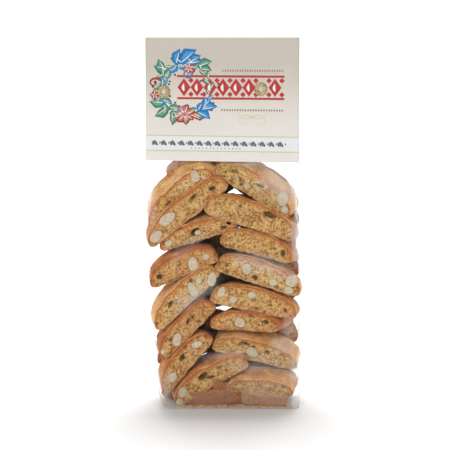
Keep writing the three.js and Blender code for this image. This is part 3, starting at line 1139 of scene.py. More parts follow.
class Sheet:
    """Flat printed shapes in millimetres, across and up the card, with their inks."""

    def __init__(self):
        self.points, self.faces, self.inks = [], [], []

    def patch(self, outline, ink, lift=0.04):
        """A shape with its outline given anticlockwise, filled from its middle."""
        start = len(self.points)
        middle = np.mean(outline, axis=0)
        self.points += [(x, -lift, z) for x, z in [middle, *outline]]
        self.inks += [ink] * (len(outline) + 1)
        for step in range(len(outline)):
            self.faces.append((start, start + 1 + step, start + 1 + (step + 1) % len(outline)))

    def stroke(self, path, widths, ink, lift=0.04):
        """A line of changing width along a path."""
        path = np.array(path)
        along = np.gradient(path, axis=0)
        along /= np.linalg.norm(along, axis=1)[:, None]
        left = np.column_stack([-along[:, 1], along[:, 0]]) * np.array(widths)[:, None] / 2
        start = len(self.points)
        for right_edge, left_edge in zip(path - left, path + left):
            self.points.append((right_edge[0], -lift, right_edge[1]))
            self.points.append((left_edge[0], -lift, left_edge[1]))
            self.inks += [ink, ink]
        for step in range(len(path) - 1):
            a = start + 2 * step
            self.faces.append((a, a + 2, a + 3, a + 1))

    def piece(self, name, material):
        """The shapes as one flat piece."""
        mesh = mesh_from(name, np.array(self.points) * MM, self.faces)
        ink = mesh.attributes.new("ink", "FLOAT_COLOR", "POINT")
        ink.data.foreach_set("color", np.array([solid_colour(one) for one in self.inks]).ravel())
        return put(name, mesh, material)


def leaf_outline(x, z, turn, length, width, lobes=0):
    """A leaf that starts at a point and grows away at an angle, with lobes along its sides."""
    angle = math.radians(turn)
    forward = np.array([math.cos(angle), math.sin(angle)])
    left = np.array([-forward[1], forward[0]])
    share = np.linspace(0, 1, 21)
    half = width / 2 * np.sin(math.pi * share**0.8) ** 0.9
    half *= 1 + 0.13 * np.sin(2 * math.pi * lobes * share)
    bow = 0.12 * length * np.sin(math.pi * share)
    middle = np.array([x, z]) + length * share[:, None] * forward + bow[:, None] * left
    right_side = middle - half[:, None] * left
    left_side = middle + half[:, None] * left
    return np.vstack([right_side, left_side[-2:0:-1]])


def disc_outline(x, z, radius):
    angles = np.linspace(0, 2 * math.pi, 14, endpoint=False)
    return np.column_stack([x + radius * np.cos(angles), z + radius * np.sin(angles)])


def diamond_outline(x, z, width, height):
    return np.array([
        (x, z - height / 2), (x + width / 2, z), (x, z + height / 2), (x - width / 2, z),
    ])


def curl_path(x, z, turn, length, bend):
    """A line that winds up more and more tightly. The bend is its whole turn, in degrees."""
    steps = 30
    heading, path = math.radians(turn), [(x, z)]
    for step in range(steps):
        heading += math.radians(bend) * 2 * (step + 0.5) / steps**2
        x += length / steps * math.cos(heading)
        z += length / steps * math.sin(heading)
        path.append((x, z))
    return path


def add_leaf(sheet, x, z, turn, length, width, inks, lobes=0):
    """A leaf in its darker ink, with a lighter heart and a pale rib."""
    dark, light, highlight = inks
    sheet.patch(leaf_outline(x, z, turn, length, width, lobes), dark, 0.05)
    forward = np.array([math.cos(math.radians(turn)), math.sin(math.radians(turn))])
    inner = np.array([x, z]) + 0.14 * length * forward
    sheet.patch(leaf_outline(*inner, turn, 0.72 * length, 0.5 * width, lobes), light, 0.08)
    rib = [np.array([x, z]) + share * length * forward for share in (0.12, 0.45, 0.78)]
    sheet.stroke(rib, (0.5, 0.6, 0.2), highlight, 0.1)


def add_curl(sheet, x, z, turn, length, bend, width, ink):
    """A tapering curl with a dot at its end."""
    path = curl_path(x, z, turn, length, bend)
    sheet.stroke(path, width * (1 - 0.6 * np.linspace(0, 1, len(path))), ink, 0.06)
    sheet.patch(disc_outline(*path[-1], 0.62 * width), ink, 0.06)


def add_flower(sheet, x, z, radius, petals, inks):
    """Round petals about a pale heart."""
    for number in range(petals):
        turn = 360 * number / petals + 20
        add_leaf(sheet, x, z, turn, radius, 0.8 * radius, inks)
    sheet.patch(disc_outline(x, z, 0.24 * radius), inks[1], 0.1)


WREATH_MIDDLE = (-31.0, 252.2)
WREATH_REACH = (19.5, 20.0)
WREATH_LEAVES = 30
BERRIES = 26
RULE_ENDS = (-37.4, 46.4)
RULE_HEIGHTS = (262.0, 244.8)
RULE_WIDTH, RULE_POINTS = 1.7, 40
FLOURISH_MIDDLE = (21.5, 230.4)


def wreath_place(angle, stretch=1.0):
    """A point on the wreath's ring, at an angle in degrees from the right."""
    turn = math.radians(angle)
    return (
        WREATH_MIDDLE[0] + stretch * WREATH_REACH[0] * math.cos(turn),
        WREATH_MIDDLE[1] + stretch * WREATH_REACH[1] * math.sin(turn),
    )


def wreath(look):
    """A closed ring of leaves and curls, with a flower and scattered berries."""
    sheet = Sheet()
    green = (look.leaf_dark, look.leaf, look.paper)
    blue = (look.blue_dark, look.blue, look.paper)
    red = (look.flower, look.flower_light, look.paper)
    ring = [wreath_place(angle) for angle in range(0, 365, 5)]
    sheet.stroke(ring, np.full(len(ring), 0.7), look.leaf_dark)
    rng = random.Random(5)
    for number in range(WREATH_LEAVES):
        angle = 360 * number / WREATH_LEAVES
        inks = blue if 70 < angle < 120 or 290 < angle < 340 else green
        lean = (34 if number % 2 else -34) + rng.uniform(-10, 10)
        size = rng.uniform(7.5, 9.5) if 70 < angle < 310 else rng.uniform(5.0, 6.6)
        add_leaf(sheet, *wreath_place(angle), angle + 90 + lean, size, 0.48 * size, inks, 3)
    for angle, turn, size, inks in (
        (102, 40, 17, blue), (92, 5, 15, blue), (112, 75, 13, blue), (84, 30, 12, blue),
        (132, 165, 12, green), (140, 120, 12, green), (150, 95, 11, green),
        (214, 175, 12, green), (226, 215, 13, green), (238, 270, 12, green),
        (306, 10, 14, blue), (312, 45, 11, blue), (298, 330, 12, blue), (60, 20, 12, green),
        (52, 350, 9, green), (262, 200, 10, red), (280, 335, 11, red),
    ):
        add_leaf(sheet, *wreath_place(angle), turn, size, 0.56 * size, inks, 2)
    for angle, turn, length, bend, ink in (
        (96, -20, 26, -350, look.blue_dark), (162, 150, 18, 320, look.flower),
        (172, 10, 15, 340, look.blue), (198, -40, 14, -320, look.blue),
        (250, 60, 16, -320, look.blue), (292, -60, 18, 340, look.blue_dark),
        (68, 60, 14, -340, look.leaf_dark), (232, 200, 14, -320, look.leaf_dark),
        (76, 240, 13, 320, look.flower),
    ):
        add_curl(sheet, *wreath_place(angle), turn, length, bend, 2.1, ink)
    add_flower(sheet, *wreath_place(268, 1.0), 8.5, 7, red)
    add_flower(sheet, *wreath_place(192, 1.25), 4.2, 5, red)
    add_flower(sheet, *wreath_place(80, 0.82), 5.0, 6, red)
    for number in range(BERRIES):
        angle = 360 * number / BERRIES + rng.uniform(-5, 5)
        stretch = rng.choice((0.68, 1.25, 1.3, 1.34))
        sheet.patch(disc_outline(*wreath_place(angle, stretch), 0.85), look.berry, 0.06)
    return sheet


def rules_and_curls(look):
    """The rules of the frieze, and a pale flourish below it."""
    sheet = Sheet()
    across = np.linspace(*RULE_ENDS, RULE_POINTS)
    for height in RULE_HEIGHTS:
        path = np.column_stack([across, np.full(RULE_POINTS, height)])
        sheet.stroke(path, np.full(RULE_POINTS, RULE_WIDTH), look.red)
    for turn, bend in ((24, -250), (156, 250), (-18, 190), (198, -190)):
        add_curl(sheet, *FLOURISH_MIDDLE, turn, 19, bend, 0.5, look.rule)
    sheet.patch(diamond_outline(*FLOURISH_MIDDLE, 2.4, 1.8), look.rule, 0.06)
    return sheet


def frieze_mark(look):
    """One lozenge of the frieze with the small ones beside it."""
    sheet = Sheet()
    sheet.patch(diamond_outline(0, 0, 10.2, 14.2), look.red)
    sheet.patch(leaf_outline(0, -3.2, 90, 6.4, 2.2), look.paper, 0.07)
    for height, size in ((5.4, 4.4), (-5.4, 4.4)):
        sheet.patch(diamond_outline(5.4, height, size, size), look.red)
    return sheet


def grain_mark(look):
    """Two leaning grains and a dot, for the row on the pale band."""
    sheet = Sheet()
    sheet.patch(leaf_outline(-1.4, -2.0, 62, 4.6, 2.4), look.grey)
    sheet.patch(leaf_outline(2.4, -2.0, 118, 4.6, 2.4), look.grey)
    sheet.patch(diamond_outline(4.15, 0, 1.2, 2.4), look.grey)
    return sheet


def bead_mark(ink, width, height):
    """One small bead of a row."""
    sheet = Sheet()
    sheet.patch(diamond_outline(0, 0, width, height), ink)
    return sheet


def row_tree(material):
    """Copies a flat shape along a row."""
    tree, sizes = shape_tree("printed row", {
        "Count": "NodeSocketInt",
        "Start": "NodeSocketVector",
        "Step": "NodeSocketVector",
    })
    line = node(tree, "GeometryNodeMeshLine", {
        "Count": sizes["Count"], "Start Location": sizes["Start"], "Offset": sizes["Step"],
    }, mode="OFFSET")
    copies = node(tree, "GeometryNodeInstanceOnPoints", {
        "Points": line.outputs[0], "Instance": sizes["Geometry"],
    })
    close_tree(tree, copies.outputs[0], material)
    return tree


def clear_of_eyelets(mesh):
    """Leaves out print that the eyelets cover or would show through their holes."""
    shape = bmesh.new()
    shape.from_mesh(mesh)
    hidden = []
    for name in EYELET_NODES:
        low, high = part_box(name)
        middle = Vector(((low.x + high.x) / 2, 0, (low.z + high.z) / 2))
        for face in shape.faces:
            offset = face.calc_center_median() - middle
            if math.hypot(offset.x, offset.z) < PRINT_FREE_RADIUS:
                hidden.append(face)
    bmesh.ops.delete(shape, geom=hidden, context="FACES")
    shape.to_mesh(mesh)
    shape.free()


def laid_on_card(piece):
    """Bends flat print on to the front panel. Its -y is how far it stands off the card."""
    clear_of_eyelets(piece.data)
    for point in piece.data.vertices:
        x, y, z = point.co
        point.co = on_card(x, z, CARD_THICKNESS / 2 - y)
    piece.data.update()
    return belongs(piece, "printed_card")


def ink_paint():
    """Ink in each shape's own colour, worn a little thin."""
    material, tree, shader, _, place = paint("printing ink")
    ink = node(tree, "ShaderNodeAttribute", attribute_name="ink").outputs["Color"]
    worn = between(tree, cloud(tree, place, 1.2 * MM, 3.0, 0.7), 0.3, 0.8, 1.0, 0.86)
    worn = node(tree, "ShaderNodeCombineColor", {0: worn, 1: worn, 2: worn}).outputs[0]
    tree.links.new(blended(tree, 1.0, ink, worn, "MULTIPLY"), shader.inputs["Base Color"])
    shader.inputs["Roughness"].default_value = 0.65
    shader.inputs["Specular IOR Level"].default_value = 0.3
    return material


# Eyelets

PETALS = 12
WEDGE_STEPS = 8
# A section through the ring: radius and place in front of the fin's middle in millimetres,
# and how far the grooves between petals cut into it there.
EYELET_SECTION = (
    (5.15, -1.42, 0.5), (5.3, -1.75, 1.0), (5.0, -2.2, 1.0), (4.3, -2.55, 1.0),
    (3.5, -2.62, 0.8), (2.8, -2.5, 0.4), (2.3, -2.2, 0.1), (2.1, -1.8, 0.0),
    (2.1, 0.0, 0.0), (2.1, 1.9, 0.0), (2.4, 2.35, 0.0), (3.2, 2.55, 0.0),
    (4.2, 2.5, 0.0), (4.9, 2.1, 0.0), (5.0, 1.42, 0.0), (2.85, 1.4, 0.0), (2.85, -1.4, 0.0),
)


def eyelet_wedge(name):
    """One petal of a rolled ring with its part of the barrel, up to the grooves beside it."""
    low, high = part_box(name)
    points = []
    for step in range(WEDGE_STEPS + 1):
        share = step / WEDGE_STEPS
        angle = 2 * math.pi / PETALS * share
        groove = math.exp(-((min(share, 1 - share) / 0.13) ** 2))
        for radius, y, depth in EYELET_SECTION:
            far = radius - 0.5 * groove * depth * (radius > 4.8)
            near = y + 0.85 * groove * depth * (y < -1.5)
            points.append((far * MM * math.cos(angle), near * MM, far * MM * math.sin(angle)))
    around = len(EYELET_SECTION)
    faces = []
    for step in range(WEDGE_STEPS):
        for number in range(around):
            a = step * around + number
            b = step * around + (number + 1) % around
            faces.append((a, a + around, b + around, b))
    return mesh_from(name, points, faces), ((low.x + high.x) / 2, 0, (low.z + high.z) / 2)


def ring_tree(material):
    """Turns copies of a wedge about the barrel and welds them into a ring."""
    tree, sizes = shape_tree("petalled ring", {
        "Petals": "NodeSocketInt",
        "Middle": "NodeSocketVector",
    })
    line = node(tree, "GeometryNodeMeshLine", {
        "Count": sizes["Petals"], "Start Location": sizes["Middle"], "Offset": (0.0, 0.0, 0.0),
    }, mode="OFFSET")
    number = node(tree, "GeometryNodeInputIndex").outputs[0]
    part = maths(tree, "DIVIDE", -2 * math.pi, sizes["Petals"])
    turn = maths(tree, "MULTIPLY", number, part)
    rotation = node(tree, "ShaderNodeCombineXYZ", {1: turn}).outputs[0]
    copies = node(tree, "GeometryNodeInstanceOnPoints", {
        "Points": line.outputs[0], "Instance": sizes["Geometry"], "Rotation": rotation,
    })
    real = node(tree, "GeometryNodeRealizeInstances", {"Geometry": copies.outputs[0]})
    welded = node(tree, "GeometryNodeMergeByDistance", {
        "Geometry": real.outputs[0], "Distance": 0.01 * MM,
    })
    close_tree(tree, welded.outputs[0], material)
    return tree


def brass_paint(look):
    """Pale brass, a little tarnished in patches."""
    material, tree, shader, _, place = paint("pale brass")
    tarnish = between(tree, cloud(tree, place, 1.4 * MM, 3.0, 0.6), 0.4, 0.7)
    metal = blended(tree, tarnish, solid_colour(look.brass), solid_colour(look.brass_dark))
    tree.links.new(metal, shader.inputs["Base Color"])
    shader.inputs["Metallic"].default_value = 1.0
    shader.inputs["Roughness"].default_value = 0.33
    return material


# Crumbs

# Where crumbs lie along the front and the back of the base, in millimetres: the strips' left
# and right ends, and their near and far edges.
CRUMB_STRIPS = ((-40, 57, -20.8, -13.5), (-38, 56, 14, 19.8))
CRUMB_LEVEL = 1.2 * MM
SMALLEST_CRUMB, LARGEST_CRUMB = 0.5 * MM, 2.0 * MM


def crumb_tree(material):
    """Scatters lumpy crumbs over a flat patch."""
    tree, sizes = shape_tree("loose crumbs", {
        "Density": "NodeSocketFloat",
        "Smallest": "NodeSocketFloat",
        "Largest": "NodeSocketFloat",
        "Seed": "NodeSocketInt",
    })
    spread = node(tree, "GeometryNodeDistributePointsOnFaces", {
        "Mesh": sizes["Geometry"], "Density": sizes["Density"], "Seed": sizes["Seed"],
    })
    size = node(tree, "FunctionNodeRandomValue", {
        2: sizes["Smallest"], 3: sizes["Largest"], "Seed": sizes["Seed"],
    }, data_type="FLOAT").outputs[1]
    turn = node(tree, "FunctionNodeRandomValue", {
        0: (0.0, 0.0, 0.0), 1: (6.28, 6.28, 6.28), "Seed": sizes["Seed"],
    }, data_type="FLOAT_VECTOR").outputs[0]
    ball = node(tree, "GeometryNodeMeshIcoSphere", {"Radius": 0.5, "Subdivisions": 2})
    stretched = vector(tree, "MULTIPLY", node(tree, "GeometryNodeInputPosition").outputs[0],
                       (1.0, 0.75, 0.6))
    flat = node(tree, "GeometryNodeSetPosition", {
        "Geometry": ball.outputs[0], "Position": stretched,
    })
    copies = node(tree, "GeometryNodeInstanceOnPoints", {
        "Points": spread.outputs[0], "Instance": flat.outputs[0], "Rotation": turn, "Scale": size,
    })
    real = node(tree, "GeometryNodeRealizeInstances", {"Geometry": copies.outputs[0]})
    place = node(tree, "GeometryNodeInputPosition").outputs[0]
    lumps = node(tree, "ShaderNodeTexNoise", {"Vector": place, "Scale": 1 / (0.9 * MM)})
    push = vector(tree, "SUBTRACT", lumps.outputs["Color"], (0.5, 0.5, 0.5))
    rough = node(tree, "GeometryNodeSetPosition", {
        "Geometry": real.outputs[0], "Offset": scaled(tree, push, 0.9 * MM),
    })
    close_tree(tree, rough.outputs[0], material)
    return tree


def crumb_paint(look):
    """Crumbs of the light inside and of the brown crust."""
    material, tree, shader, _, place = paint("loose crumb")
    tone = between(tree, cloud(tree, place, 3 * MM, 2.0), 0.35, 0.65)
    colour = blended(tree, tone, solid_colour(look.crumb_light), solid_colour(look.crust_dark))
    tree.links.new(colour, shader.inputs["Base Color"])
    shader.inputs["Roughness"].default_value = 0.8
    shader.inputs["Specular IOR Level"].default_value = 0.3
    return material


# Settings


def colour_property(name, description, *levels):
    return FloatVectorProperty(
        name=name, description=description, subtype="COLOR", size=3, min=0, max=1,
        default=shade(*levels),
    )


def length_property(name, description, default):
    return FloatProperty(
        name=name, description=description, subtype="DISTANCE", unit="LENGTH", min=0,
        default=default,
    )


class BiscuitLook(bpy.types.PropertyGroup):
    """What the baker would change about the slices."""

    pore_size: length_property("Pore size", "Width of a usual pore", 2.5 * MM)
    pore_depth: length_property("Pore depth", "Depth of a usual pore", 1.2 * MM)
    grain: length_property("Grain", "Height of the crumb's unevenness", 1.1 * MM)
    wrinkle: length_property("Wrinkle", "Height of the crust's unevenness", 0.9 * MM)
    seed: IntProperty(name="Seed", description="Choice of all that is uneven", default=11)
    crumb_density: FloatProperty(
        name="Crumb density", description="Loose crumbs in a square metre", default=4.5e5
    )
    crumb_light: colour_property("Crumb", "Crumb where it is lightest", 242, 206, 132)
    crumb_dark: colour_property("Crumb shade", "Crumb between the light grains", 196, 148, 82)
    crumb_pale: colour_property("Crumb specks", "Pale grains in the crumb", 246, 216, 150)
    # Painted shade at the bottom of a pore.
    pore: colour_property("Pore", "Bottom of a pore", 108, 66, 30)
    # Painted shade: the dark of a hollow, of the ring round a nut and of the gaps between slices.
    cavity_shade: colour_property("Cavity", "Depth of a large hollow", 52, 28, 18)
    rim: colour_property("Toasted edge", "Crumb next to the crust", 208, 122, 50)
    crust_light: colour_property("Crust", "Crust where it is lightest", 255, 204, 136)
    crust_dark: colour_property("Crust shade", "Crust in its browner patches", 204, 126, 66)
    crust_spot: colour_property("Crust specks", "Well baked specks", 132, 70, 34)
    base: colour_property("Base", "Underside, which lay on the tray", 196, 150, 116)
    nut: colour_property("Almond", "Almond flesh", 216, 202, 174)
    nut_shade: colour_property("Almond shade", "Almond flesh in its veins", 196, 178, 148)
    nut_skin: colour_property("Almond skin", "Skin round a cut almond", 150, 114, 84)


class CardLook(bpy.types.PropertyGroup):
    """The header card's paper and inks, and the eyelets' metal."""

    paper: colour_property("Paper", "Paper of the card", 251, 247, 239)
    # Painted shade of the paper towards the fold, and the tint of its laid lines.
    paper_painted_shade_and_weave: colour_property("Paper shade", "Paper towards the fold", 209, 201, 189)
    fleck: colour_property("Fleck", "Grey flecks in the paper", 176, 166, 158)
    band: colour_property("Band", "Pale band across the front", 244, 246, 249)
    rule: colour_property("Rule", "Thin yellow rules", 226, 208, 152)
    red: colour_property("Red", "Ink of the frieze", 196, 62, 62)
    leaf: colour_property("Leaf", "Lighter green", 116, 168, 140)
    leaf_dark: colour_property("Leaf shade", "Darker green", 70, 136, 116)
    blue: colour_property("Blue", "Lighter blue", 82, 158, 214)
    blue_dark: colour_property("Blue shade", "Darker blue", 38, 128, 190)
    flower: colour_property("Flower", "Red-brown of the flowers", 170, 66, 62)
    flower_light: colour_property("Flower heart", "Lighter red-brown", 206, 124, 108)
    berry: colour_property("Berry", "Small dark dots", 116, 66, 58)
    brown: colour_property("Brown", "Rows of small beads", 146, 120, 112)
    grey: colour_property("Grey", "Grains on the band", 128, 118, 116)
    brass: colour_property("Brass", "Metal of the eyelets", 214, 192, 150)
    brass_dark: colour_property("Tarnish", "Duller metal", 164, 136, 98)

    def fields(self):
        """The printed fields that run right across: colour, lower and upper edge."""
        return (
            (self.band, 204.9 * MM, 214.8 * MM),
            (self.rule, 203.7 * MM, 204.4 * MM),
            (self.rule, 215.2 * MM, 215.9 * MM),
        )


class FilmLook(bpy.types.PropertyGroup):
    """How the film lies and shines."""

    sag: length_property("Sag", "How far the film may fall in between slices", 4 * MM)
    pull: length_property("Pull", "How strongly it is drawn in, for each settling step", 0.006 * MM)
    settling: IntProperty(name="Settling", description="Steps of settling", default=500)
    crease: length_property("Crease height", "Height of the small creases", 0.35 * MM)
    crease_size: length_property("Crease size", "Distance between creases", 22 * MM)
    gather: length_property("Gather height", "Height of the gathers at the neck", 2.5 * MM)
    pleat: length_property("Pleat height", "Height of the upright pleats at the sides", 0.5 * MM)
    sheen: FloatProperty(name="Sheen", description="Sheen seen straight on", default=0.007)
    edge_sheen: FloatProperty(name="Edge sheen", description="Sheen at the sides", default=0.7)
    veil: FloatProperty(name="Veil", description="Cloudiness of the film", default=0.005)
    # Also sets how strong the painted highlights on the film are.
    fold_veil_and_highlights: FloatProperty(name="Fold veil", description="Cloudiness of folds", default=0.5)


class StageLook(bpy.types.PropertyGroup):
    """The camera and the light."""

    distance: length_property("Camera distance", "From the bag's middle", 0.98)
    height: FloatProperty(
        name="Camera height", description="How far the camera looks down", subtype="ANGLE",
        default=math.radians(8),
    )
    aim: length_property("Aim", "Height that the camera looks at", 149.5 * MM)
    lens: FloatProperty(name="Lens", description="Focal length in mm", min=10, default=98.8)
    rise: FloatProperty(name="Lens shift", description="Shift upwards", default=-6 / 450)
    key: FloatProperty(name="Key light", description="Power in watts", min=0, default=25)
    fill: FloatProperty(name="Fill light", description="Power in watts", min=0, default=9.2)
    sky: FloatProperty(name="Sky", description="Strength of the white room", min=0, default=0.34)


class BagSettings(bpy.types.PropertyGroup):
    """All settings of the bag of biscotti."""

    biscuit: PointerProperty(type=BiscuitLook)
    card: PointerProperty(type=CardLook)
    film: PointerProperty(type=FilmLook)
    stage: PointerProperty(type=StageLook)


def settings():
    return bpy.context.scene.biscotti_bag


# Operators


def bake_slices(slices, layer, label, seed, look):
    """One piece for each slice of a column, with its relief grown by the relief tree."""
    faces = slice_faces()
    material = bpy.data.materials.get("baked biscuit") or biscuit_paint(look)
    tree = bpy.data.node_groups.get("baked relief") or relief_tree(material)
    rng = random.Random(seed)
    pieces = []
    for number, one in enumerate(slices, 1):
        local, keeps = slice_points(one, rng.uniform(1, 99))
        toast = one.toast if one.toast >= 0 else rng.uniform(0.35, 0.8)
        places = moved(slice_placing(one, layer), local)
        # Painted shade: brown slices that stand darken towards their far side, deep in the gaps
        # between slices, near the stack's middle only.
        keeps["buried"] *= 1 - smooth_step(34 * MM, 50 * MM, np.abs(places[:, 0]))
        keeps["buried"] *= smooth_step(0.0, 0.3, toast) * (1 - smooth_step(10, 25, abs(one.roll)))
        mesh = mesh_from(label, places, faces)
        for name, values in keeps.items():
            store(mesh, name, values)
        store(mesh, "toast", np.full(len(local), toast))
        piece = put(f"{label}_{number}", mesh, material)
        grown(piece, tree, {
            "Seed": [rng.uniform(-1, 1) for _ in range(3)],
            "Pore Size": look.pore_size,
            "Pore Depth": look.pore_depth,
            "Grain": look.grain,
            "Wrinkle": look.wrinkle,
        })
        belongs(piece, "biscuit")
        pieces.append(piece)
    return pieces


class BISCOTTI_OT_front_slices(bpy.types.Operator):
    """Bake the two columns of slices that show at the front."""

    bl_idname = "biscotti.front_slices"
    bl_label = "Front slices"

    def execute(self, context):
        look = settings().biscuit
        bake_slices(LEFT_COLUMN, FRONT, "biscotto_front_left", look.seed, look)
        bake_slices(RIGHT_COLUMN, FRONT, "biscotto_front_right", look.seed + 1, look)
        return {"FINISHED"}


class BISCOTTI_OT_back_slices(bpy.types.Operator):
    """Bake the layer of slices behind."""

    bl_idname = "biscotti.back_slices"
    bl_label = "Back slices"

    def execute(self, context):
        look = settings().biscuit
        bake_slices(back_columns(), BEHIND, "biscotto_back", look.seed + 2, look)
        return {"FINISHED"}


class BISCOTTI_OT_almonds(bpy.types.Operator):
    """Set the almonds into the cut faces."""

    bl_idname = "biscotti.almonds"
    bl_label = "Almonds"

    def execute(self, context):
        look = settings().biscuit
        columns = (
            (LEFT_COLUMN, FRONT), (RIGHT_COLUMN, FRONT), (back_columns(), BEHIND)
        )
        points, faces, edges = [], [], []
        for slices, layer in columns:
            for one in slices:
                for bit in one.bits:
                    if bit.kind != "nut":
                        continue
                    nut, nut_faces, edge = almond_shape(bit, slice_placing(one, layer))
                    start = len(points)
                    points.extend(nut)
                    faces.extend([tuple(start + i for i in face) for face in nut_faces])
                    edges.extend(edge)
        mesh = mesh_from("almonds", points, faces)
        store(mesh, "edge", edges)
        belongs(put("almonds", mesh, almond_paint(look)), "almond")
        return {"FINISHED"}


class BISCOTTI_OT_film(bpy.types.Operator):
    """Draw the clear film over the slices, up to the neck and the flat fin."""

    bl_idname = "biscotti.film"
    bl_label = "Film"

    def execute(self, context):
        look = settings().film
        slices = [o for o in bpy.data.objects if o.name.startswith("biscotto_")]
        mesh, free, places = film_shell(contents_tree(slices), look)
        heights = places[:, 2]
        upright = smooth_step(0.0, 6 * MM, heights) * (1 - smooth_step(210 * MM, 228 * MM, heights))
        store(mesh, "free", free * upright)
        neck = smooth_step(SHOULDER_FROM, 205 * MM, heights)
        neck *= 1 - smooth_step(222 * MM, FIN_FROM, heights)
        store(mesh, "neck", neck)
        from_middle = np.abs(places[:, 0] - MM)
        side = smooth_step(34 * MM, 46 * MM, from_middle) * (1 - smooth_step(0.17, 0.2, heights))
        store(mesh, "side", side * upright)
        store(mesh, "veil", film_veil_and_highlights(places))
        # The film has no edge sheen where it lies on the floor or bends up from it.
        store(mesh, "shine", smooth_step(1 * MM, 10 * MM, heights))
        film = put("film", mesh, film_paint(look))
        grown(film, crease_tree(film.active_material), {
            "Crease Height": look.crease,
            "Crease Size": look.crease_size,
            "Gather Height": look.gather,
            "Pleat Height": look.pleat,
        })
        drilled(film)
        belongs(film, "clear_film", "bag")
        return {"FINISHED"}


class BISCOTTI_OT_header_card(bpy.types.Operator):
    """Fold the header card over the fin."""

    bl_idname = "biscotti.header_card"
    bl_label = "Header card"

    def execute(self, context):
        card = put("header_card", card_mesh(), paper_paint(settings().card))
        belongs(drilled(card), "printed_card", "header_card")
        return {"FINISHED"}


class BISCOTTI_OT_card_print(bpy.types.Operator):
    """Print a wreath, a frieze and small rows on the front of the card."""

    bl_idname = "biscotti.card_print"
    bl_label = "Card print"

    def execute(self, context):
        look = settings().card
        ink = ink_paint()
        laid_on_card(wreath(look).piece("print_wreath", ink))
        laid_on_card(rules_and_curls(look).piece("print_rules", ink))
        rows = row_tree(ink)
        for name, mark, count, x, z, step in (
            ("print_frieze", frieze_mark(look), 8, -32.0, 253.4, 10.15),
            ("print_grains", grain_mark(look), 15, -55.0, 209.9, 7.0),
            ("print_beads", bead_mark(look.brown, 1.3, 2.2), 25, -1.6, 266.4, 1.93),
            ("print_lower_beads", bead_mark(look.brown, 1.4, 2.2), 24, -2.4, 235.8, 2.05),
            ("print_band_beads", bead_mark(look.fleck, 1.5, 1.2), 14, -26.0, 206.2, 2.9),
        ):
            piece = mark.piece(name, ink)
            grown(piece, rows, {
                "Count": count,
                "Start": [x * MM, 0.0, z * MM],
                "Step": [step * MM, 0.0, 0.0],
            })
            laid_on_card(piece)
        return {"FINISHED"}


class BISCOTTI_OT_eyelets(bpy.types.Operator):
    """Press the two petalled eyelets through the card."""

    bl_idname = "biscotti.eyelets"
    bl_label = "Eyelets"

    def execute(self, context):
        metal = brass_paint(settings().card)
        tree = ring_tree(metal)
        for name in EYELET_NODES:
            mesh, middle = eyelet_wedge(name)
            piece = put(f"brass_{name}", mesh, metal)
            grown(piece, tree, {"Petals": PETALS, "Middle": list(middle)})
            belongs(piece, "brass", name)
        return {"FINISHED"}


class BISCOTTI_OT_crumbs(bpy.types.Operator):
    """Drop loose crumbs to the bottom of the bag."""

    bl_idname = "biscotti.crumbs"
    bl_label = "Crumbs"

    def execute(self, context):
        look = settings().biscuit
        corners = []
        for left, right, near, far in CRUMB_STRIPS:
            corners += [(left, near), (right, near), (right, far), (left, far)]
        floor = [(x * MM, y * MM, CRUMB_LEVEL) for x, y in corners]
        material = crumb_paint(look)
        crumbs = put("crumbs", mesh_from("crumbs", floor, [(0, 1, 2, 3), (4, 5, 6, 7)]), material)
        grown(crumbs, crumb_tree(material), {
            "Density": look.crumb_density,
            "Smallest": SMALLEST_CRUMB,
            "Largest": LARGEST_CRUMB,
            "Seed": look.seed,
        })
        belongs(crumbs, "biscuit")
        return {"FINISHED"}


def lamp(name, place, aim, size, power):
    """A soft white light, wide and high, that looks at a point."""
    light = bpy.data.lights.new(name, "AREA")
    light.shape = "RECTANGLE"
    light.size, light.size_y = size
    light.energy = power
    holder = bpy.data.objects.new(name, light)
    bpy.context.scene.collection.objects.link(holder)
    holder.location = place
    holder.rotation_euler = (Vector(aim) - Vector(place)).to_track_quat("-Z", "Y").to_euler()


FLOOR_REACH = 1.7  # from the bag to where the floor starts to rise
SWEEP_RADIUS = 0.8
WALL_TOP = 1.6
FLOOR_SIDES, SWEEP_STEPS = 64, 16
KEY_PLACE, KEY_AIM, KEY_SIZE = (0, 0.42, 1.5), (0, 0, 0.05), (0.8, 0.6)
FILL_PLACE, FILL_AIM, FILL_SIZE = (-0.35, -1.35, 1.15), (0, 0, 0.14), (0.9, 0.6)


def backdrop_paint():
    """White near the bag, and a white glow behind it."""
    material, tree, shader, _, place = paint("white backdrop")
    back = node(tree, "ShaderNodeSeparateXYZ", {0: place}).outputs["Y"]
    away = node(tree, "ShaderNodeVectorMath", {0: place}, operation="LENGTH").outputs["Value"]
    tone = between(tree, away, 0.8, 1.8, 0.76, 0.6)
    white = node(tree, "ShaderNodeCombineColor", {0: tone, 1: tone, 2: tone}).outputs[0]
    tree.links.new(white, shader.inputs["Base Color"])
    glow = maths(tree, "ADD", between(tree, back, 0.1, 1.6, 0.0, 0.8),
                 between(tree, away, 0.8, 2.0, 0.0, 0.12))
    tree.links.new(glow, shader.inputs["Emission Strength"])
    shader.inputs["Emission Color"].default_value = (1, 1, 1, 1)
    shader.inputs["Roughness"].default_value = 0.95
    shader.inputs["Specular IOR Level"].default_value = 0.0
    return material


